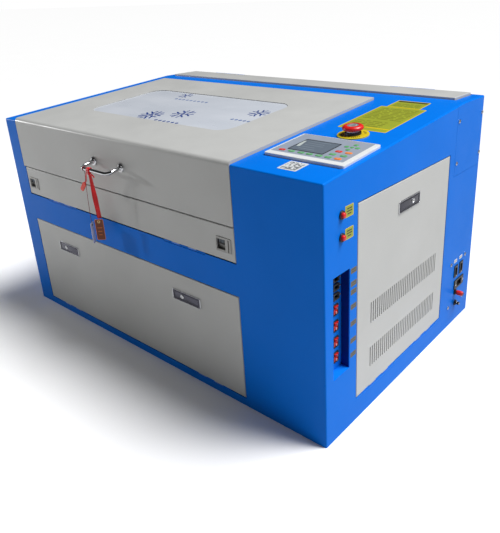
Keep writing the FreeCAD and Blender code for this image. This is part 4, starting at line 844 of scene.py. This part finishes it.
def nurbs(name, points):
    """A NURBS line through the given control points, and evenly read points along it."""
    data = bpy.data.curves.new(name, "CURVE")
    data.dimensions = "3D"
    data.resolution_u = 24
    spline = data.splines.new("NURBS")
    spline.points.add(len(points) - 1)
    for control, point in zip(spline.points, points):
        control.co = (*point, 1.0)
    spline.order_u = 3
    spline.use_endpoint_u = True
    holder = bpy.data.objects.new(name, data)
    bpy.context.scene.collection.objects.link(holder)
    bpy.context.view_layer.update()
    line = bpy.data.meshes.new_from_object(holder)
    return holder, [v.co.copy() for v in line.vertices]


def ribbon_ring(mesh, point, share):
    """The cupped, slightly twisted outline of the ribbon at a share of its length."""
    half = (HALF_TOP + HALF_MORE * min(1.0, share * 1.8)) * MM
    bow = 0.55 * MM * math.sin(share * 9.0)
    face = ACROSS.cross(Z)
    middle_row = []
    for j in range(RIBBON_ROW):
        u = -1 + 2 * j / (RIBBON_ROW - 1)
        cup = 0.9 * MM * (u * u) * (1 - share) + bow * u
        middle_row.append(point + ACROSS * half * u + face * cup)
    front = [p + face * HALF_T * MM for p in middle_row]
    rear = [p - face * HALF_T * MM for p in reversed(middle_row)]
    return [mesh.verts.new(p) for p in front + rear]


def wrap(piece, wrap_x, lean):
    """One turn of ribbon round the handle's bar."""
    rings = []
    for k in range(33):
        a = math.tau * k / 32
        slide = math.sin(math.radians(lean)) * 5.0 * math.cos(a)
        point = at(wrap_x + slide, BAR[0] + WRAP_R * math.sin(a), BAR[1] + WRAP_R * math.cos(a))
        out = Vector((0, math.sin(a), math.cos(a)))
        rings.append([piece.mesh.verts.new(point + X * dx * MM + out * dr * MM) for dx, dr in BAND])
    piece.skin(rings, RIBBON, capped=False)


ribbon_high = at(RIBBON_X, BAR[0], RIBBON_TOP_Z)
ribbon_low = at(RIBBON_X, BAR[0], RIBBON_END_Z) + ACROSS * RIBBON_LEAN * MM
ribbon_line, ribbon_points = nurbs("ribbon_line", [ribbon_high, (ribbon_high + ribbon_low) / 2, ribbon_low])
bpy.data.objects.remove(ribbon_line)
strap = Piece("ribbon_strap")
strap.skin([ribbon_ring(strap.mesh, point, k / (len(ribbon_points) - 1))
            for k, point in enumerate(ribbon_points)], RIBBON)
strap_object = strap.done("ribbon", ["key_ribbon"])

knot = Piece("ribbon_knot")
for aside, lean in WRAPS:
    wrap(knot, RIBBON_X + aside, lean)
knot.turned(on_front(RIBBON_X + 0.5, BAR[1] - 6.2, HANDLE_OUT + 2.0, 12.0), LUMP, RIBBON, 20)
tail = [at(RIBBON_X + x, BAR[0] + y, BAR[1] + z)
        for x, y, z in ((3.0, -1.5, -5.0), (8.0, -3.0, -6.5), (12.5, -2.0, -9.5), (15.5, -0.5, -14.0))]
knot.swept(tail, [2.0, 2.4, 2.6, 2.6], RIBBON, 10, 0.25, Y)
knot.done("ribbon")

thread, thread_points = nurbs("tag_string", STRING)
thread.data.bevel_depth = STRING_R * MM
thread.data.bevel_resolution = 3
thread.data.use_fill_caps = True
thread.data.materials.append(DARK_CORD)
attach(thread, "ribbon")
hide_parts("key_ribbon")

string_loop = Piece("string_loop")
loop_route = []
for k in range(LOOP_STEPS + 1):
    a = math.tau * k / LOOP_STEPS
    y, z = BAR[0] + LOOP_R * math.sin(a), BAR[1] + LOOP_R * math.cos(a)
    loop_route.append(at(386.0 + 0.6 * math.sin(a), y, z))
string_loop.swept(loop_route, STRING_R, DARK_CORD, 8, 1.0, X)
string_loop.done("ribbon")

TAG_W, TAG_H, TAG_ABOVE = 18.0, 47.0, 5.0                # TAG_ABOVE: from the eyelet to the upper edge
CORE_T, CARD_T, EYELET_T = 0.55, 0.62, 1.0               # how far each layer reaches from the middle


def hanging(x, y, z, turn):
    """A place whose x runs across a hanging tag, turned about the vertical."""
    a = math.radians(turn)
    across = Vector((math.cos(a), math.sin(a), 0))
    return axes(at(x, y, z), across, Z, across.cross(Z))


def hang_tag(piece, place, card, edge, ink, bar_high):
    """A card tag with a coloured border on both faces, a metal eyelet and three printed bars."""
    body = moved(place, 0, TAG_ABOVE - TAG_H / 2)
    piece.block(body, rounded(TAG_W, TAG_H, 2.6), -CORE_T, CORE_T, edge)
    for low, high in ((CORE_T, CARD_T), (-CARD_T, -CORE_T)):
        piece.block(body, rounded(TAG_W - 1.8, TAG_H - 1.8, 1.9), low, high, card)
    for low, high, hole_low, hole_high in ((CARD_T, EYELET_T, CARD_T, CARD_T + 0.06),
                                           (-EYELET_T, -CARD_T, -CARD_T - 0.06, -CARD_T)):
        piece.rim(place, disc(3.0, 24), disc(1.8, 24), low, high, BRASS, 0.1)
        piece.block(place, disc(1.8, 24), hole_low, hole_high, BLACK)
    for k in range(3):
        bar = moved(place, 0, -14.0 - 8.0 * k, CARD_T)
        piece.block(bar, rounded(11.0 - 2.0 * k, bar_high, 0.5, 3), 0, 0.06, ink)


brown_tag = Piece("brown_tag")
hang_tag(brown_tag, hanging(411.5, -36.0, 327.0, 38.0), BROWN_CARD, ORANGE_EDGE, ORANGE_EDGE, 1.4)
tie = [ribbon_low + Vector((0, 0, 0.004)), ribbon_low + Vector((0.001, -0.002, 0)), at(411.5, -37.2, 327.0)]
brown_tag.swept(tie, 0.9, RIBBON, 8)
brown_tag.done("ribbon", ["hang_tags"])

pale_tag = Piece("pale_tag")
pale_z = STRING[-1].z / MM - TAG_ABOVE - 0.3
hang_tag(pale_tag, hanging(373.5, -31.0, pale_z, -50.0), PALE_CARD, CARD, MID_INK, 1.2)
pale_tag.done("ribbon", ["hang_tags"])

fob = Piece("key_fob")
fob_top = at(379.0, -34.0, 407.3)
fob_up = Vector((13.0, 2.0, 17.5)).normalized()
fob_across = fob_up.cross(Y).normalized()
fob_place = moved(axes(fob_top, fob_across, fob_up, fob_across.cross(fob_up)), 0, -11.0)
fob.block(fob_place, rounded(10.0, 22.0, 3.6), -1.4, 1.4, FOB_RED, 0.7)
fob.rim(fob_place, rounded(7.0, 18.0, 2.4), rounded(6.0, 17.0, 1.8), 1.3, 1.6, FOB_RED, 0.1)
fob_strap = [fob_top + fob_up * 0.0005, fob_top + fob_up * 0.008, at(390.5, -35.5, 425.0),
             at(394.0, -35.5, 434.5)]
fob.swept(fob_strap, [2.4, 2.2, 1.8, 1.6], RIBBON, 10, 0.3, Y)
fob.done("ribbon", ["hang_tags"])

# ---- inside: laser tube core, supply, controller, driver, lens rings ----
TUBE_AXIS = axes(at(150.0, 550.0, 470.0), Y, Z, X)
BORE, ELECTRODES = (3.2, 40.0, 740.0, CERAMIC), ((9.0, 44.0, 130.0, COPPER), (9.0, 650.0, 736.0, COPPER))
core = Piece("laser_core")
for radius, low, high, material in (BORE, *ELECTRODES):
    profile = [(radius - 0.4, low), (radius, low + 1), (radius, high - 1), (radius - 0.4, high)]
    core.turned(TUBE_AXIS, profile, material, 24)
for low, high in ((-2.0, 14.0), (766.0, 782.0)):
    core.turned(TUBE_AXIS, [(13.0, low), (15.4, low + 2), (15.4, high - 2), (14.4, high)], COPPER, 40)
core.done("cabinet")

SUPPLY_SIDE, SUPPLY_TOP = 950.0, 120.0
VENTS, VENT_PITCH, VENT_Z = 15, 13.5, (42.0, 82.0)
TERMINALS, TERMINAL_PITCH = 8, 12.6
PLUGS, PLUG_PITCH, PLUG_ROWS = 11, 14.8, (-68.0, 68.0)
FINS, FIN_PITCH = 9, 9.6


def supply_details(piece):
    """Vent slots, screw terminals and the fan's grille of the laser supply."""
    # The vent slots are painted shade: flat dark bars on the supply's side where the openings would be.
    for z in VENT_Z:
        for k in range(VENTS):
            slot = axes(at(SUPPLY_SIDE, 124.0 + VENT_PITCH * k, z), Y, Z, X)
            piece.block(slot, rounded(3.4, 27.0, 1.6, 3), 0, 0.2, BLACK)
    strip_place = axes(at(872.0, 126.0, SUPPLY_TOP), X, Y, Z)
    piece.block(strip_place, rounded(104.0, 18.0, 1.5), 0, 11.0, BLACK, 0.8)
    for k in range(TERMINALS):
        screw = moved(strip_place, -44.0 + TERMINAL_PITCH * k)
        piece.turned(screw, [(3.4, 10.9), (3.4, 12.4), (0.2, 12.9)], STEEL, 16)
    grille = axes(at(896.0, 246.0, SUPPLY_TOP), X, Y, Z)
    piece.block(grille, disc(34.0), 0, 0.4, BLACK)
    for radius in (12.0, 19.0, 26.0, 33.0):
        piece.rim(grille, disc(radius + 0.9), disc(radius - 0.9), 1.0, 2.8, STEEL, 0.5)
    for turn in (0.0, 60.0, 120.0):
        piece.block(spun(grille, turn), rounded(68.0, 2.0, 0.8, 3), 0.3, 2.2, STEEL)
    piece.turned(grille, [(8.0, 0.3), (8.0, 2.6), (7.0, 3.2), (0.2, 3.2)], STEEL, 24)


def controller_details(piece):
    """The controller's cover, its two rows of plugs and its four screws."""
    board = axes(at(820.0, 240.0, 300.0), Y, Z, X)
    piece.block(board, rounded(172.0, 118.0, 3.0), 0, 1.6, BLACK, 0.5)
    piece.block(board, rounded(96.0, 46.0, 2.0), 1.6, 1.8, SILVER_FILM)
    for row_y in PLUG_ROWS:
        for k in range(PLUGS):
            plug = moved(board, -74.0 + PLUG_PITCH * k, row_y)
            piece.block(plug, rounded(12.6, 9.0, 0.8, 3), 0, 7.0, KEY_GREEN, 0.5)
            piece.block(plug, rounded(8.0, 4.0, 0.6, 3), 7.0, 7.1, BLACK)
    for x in (-82.0, 82.0):
        for y in (-52.0, 52.0):
            piece.turned(moved(board, x, y), [(2.8, 1.5), (2.8, 2.6), (0.2, 3.4)], STEEL, 16)


def driver_fins(piece):
    """Cooling fins on the stepper driver's outer face."""
    for k in range(FINS):
        fin = axes(at(816.0, 356.5 + FIN_PITCH * k, 279.0), Y, Z, X)
        piece.block(fin, rounded(2.6, 112.0, 0.8, 3), 0, 7.0, BLACK, 0.5)


bay = Piece("electronics_details")
supply_details(bay)
controller_details(bay)
driver_fins(bay)
bay.done("cabinet")

HEAD = (625.0, 370.0)
lens_rings = Piece("lens_rings")
for low, high in ((409.5, 416.0), (424.0, 428.0), (440.0, 452.0)):
    lens_rings.rim(axes(at(*HEAD, 0), X, Y, Z), disc(12.6, 48), disc(10.9, 48), low, high, BRASS, 0.6)
lens_rings.done("carriage")

# ---- camera ----
scene = bpy.context.scene
scene.view_settings.view_transform = "Standard"
camera = bpy.data.objects.new("camera", bpy.data.cameras.new("camera"))
scene.collection.objects.link(camera)
camera.location = (0.95675, -0.96026, 0.75919)
camera.rotation_euler = tuple(math.radians(a) for a in (68.761, 1.445, 38.004))
camera.data.lens = 38.336
camera.data.sensor_width = 36.0
camera.data.shift_x = -0.0988
camera.data.shift_y = -0.0881
camera.data.clip_start = 0.01
scene.camera = camera


# ---- lights and backdrop ----
def lamp(kind, name, where, look_at, power, size):
    """A sun (size in degrees) or a round area lamp (size in metres), aimed at a point."""
    light = bpy.data.objects.new(name, bpy.data.lights.new(name, kind))
    scene.collection.objects.link(light)
    light.location = where
    light.rotation_euler = (Vector(look_at) - Vector(where)).to_track_quat("-Z", "Y").to_euler()
    light.data.energy = power
    if kind == "SUN":
        light.data.angle = math.radians(size)
    else:
        light.data.shape = "DISK"
        light.data.size = size


lamp("SUN", "ceiling_light", (0.70, 0.62, 1.75), (0, 0, 0), power=3.85, size=26.0)
lamp("AREA", "right_lamp", (1.35, 0.1, 1.6), (0.5, 0.0, 0.5), power=10.5, size=0.6)
lamp("AREA", "left_lamp", (-2.4, -1.16, 0.77), (-0.1, -0.34, 0.42), power=18.5, size=0.12)

# The backdrop is white to the camera and lights the object only a little.
UNSEEN, SEEN = 0.03, 1.0
world = bpy.data.worlds.new("studio")
scene.world = world
world.use_nodes = True
backdrop = world.node_tree.nodes["Background"]
backdrop.inputs["Color"].default_value = (1, 1, 1, 1)
in_view = world.node_tree.nodes.new("ShaderNodeLightPath").outputs["Is Camera Ray"]
level = world.node_tree.nodes.new("ShaderNodeMapRange")
level.inputs["To Min"].default_value = UNSEEN
level.inputs["To Max"].default_value = SEEN
world.node_tree.links.new(in_view, level.inputs["Value"])
world.node_tree.links.new(level.outputs["Result"], backdrop.inputs["Strength"])

# The floor is paler to the camera than to the light that it throws back on the object.
REACH = 200.0
CORNERS = [(-REACH, -REACH, 0), (REACH, -REACH, 0), (REACH, REACH, 0), (-REACH, REACH, 0)]
PAPER, PAPER_DRIFT, BOUNCE = (0.93, 0.93, 0.93), (0.95, 0.95, 0.95), (0.62, 0.62, 0.62)
floor_mesh = bpy.data.meshes.new("floor")
floor_mesh.from_pydata(CORNERS, [], [(0, 1, 2, 3)])
floor = bpy.data.objects.new("floor", floor_mesh)
scene.collection.objects.link(floor)
floor_look = Nodes("floor")
paper = floor_look.mix(floor_look.noise(2.0), PAPER, PAPER_DRIFT)
in_view = floor_look.make("LightPath").outputs["Is Camera Ray"]
floor_look.set(Base_Color=floor_look.mix(in_view, BOUNCE, paper), Roughness=0.9)
floor_mesh.materials.append(floor_look.material)
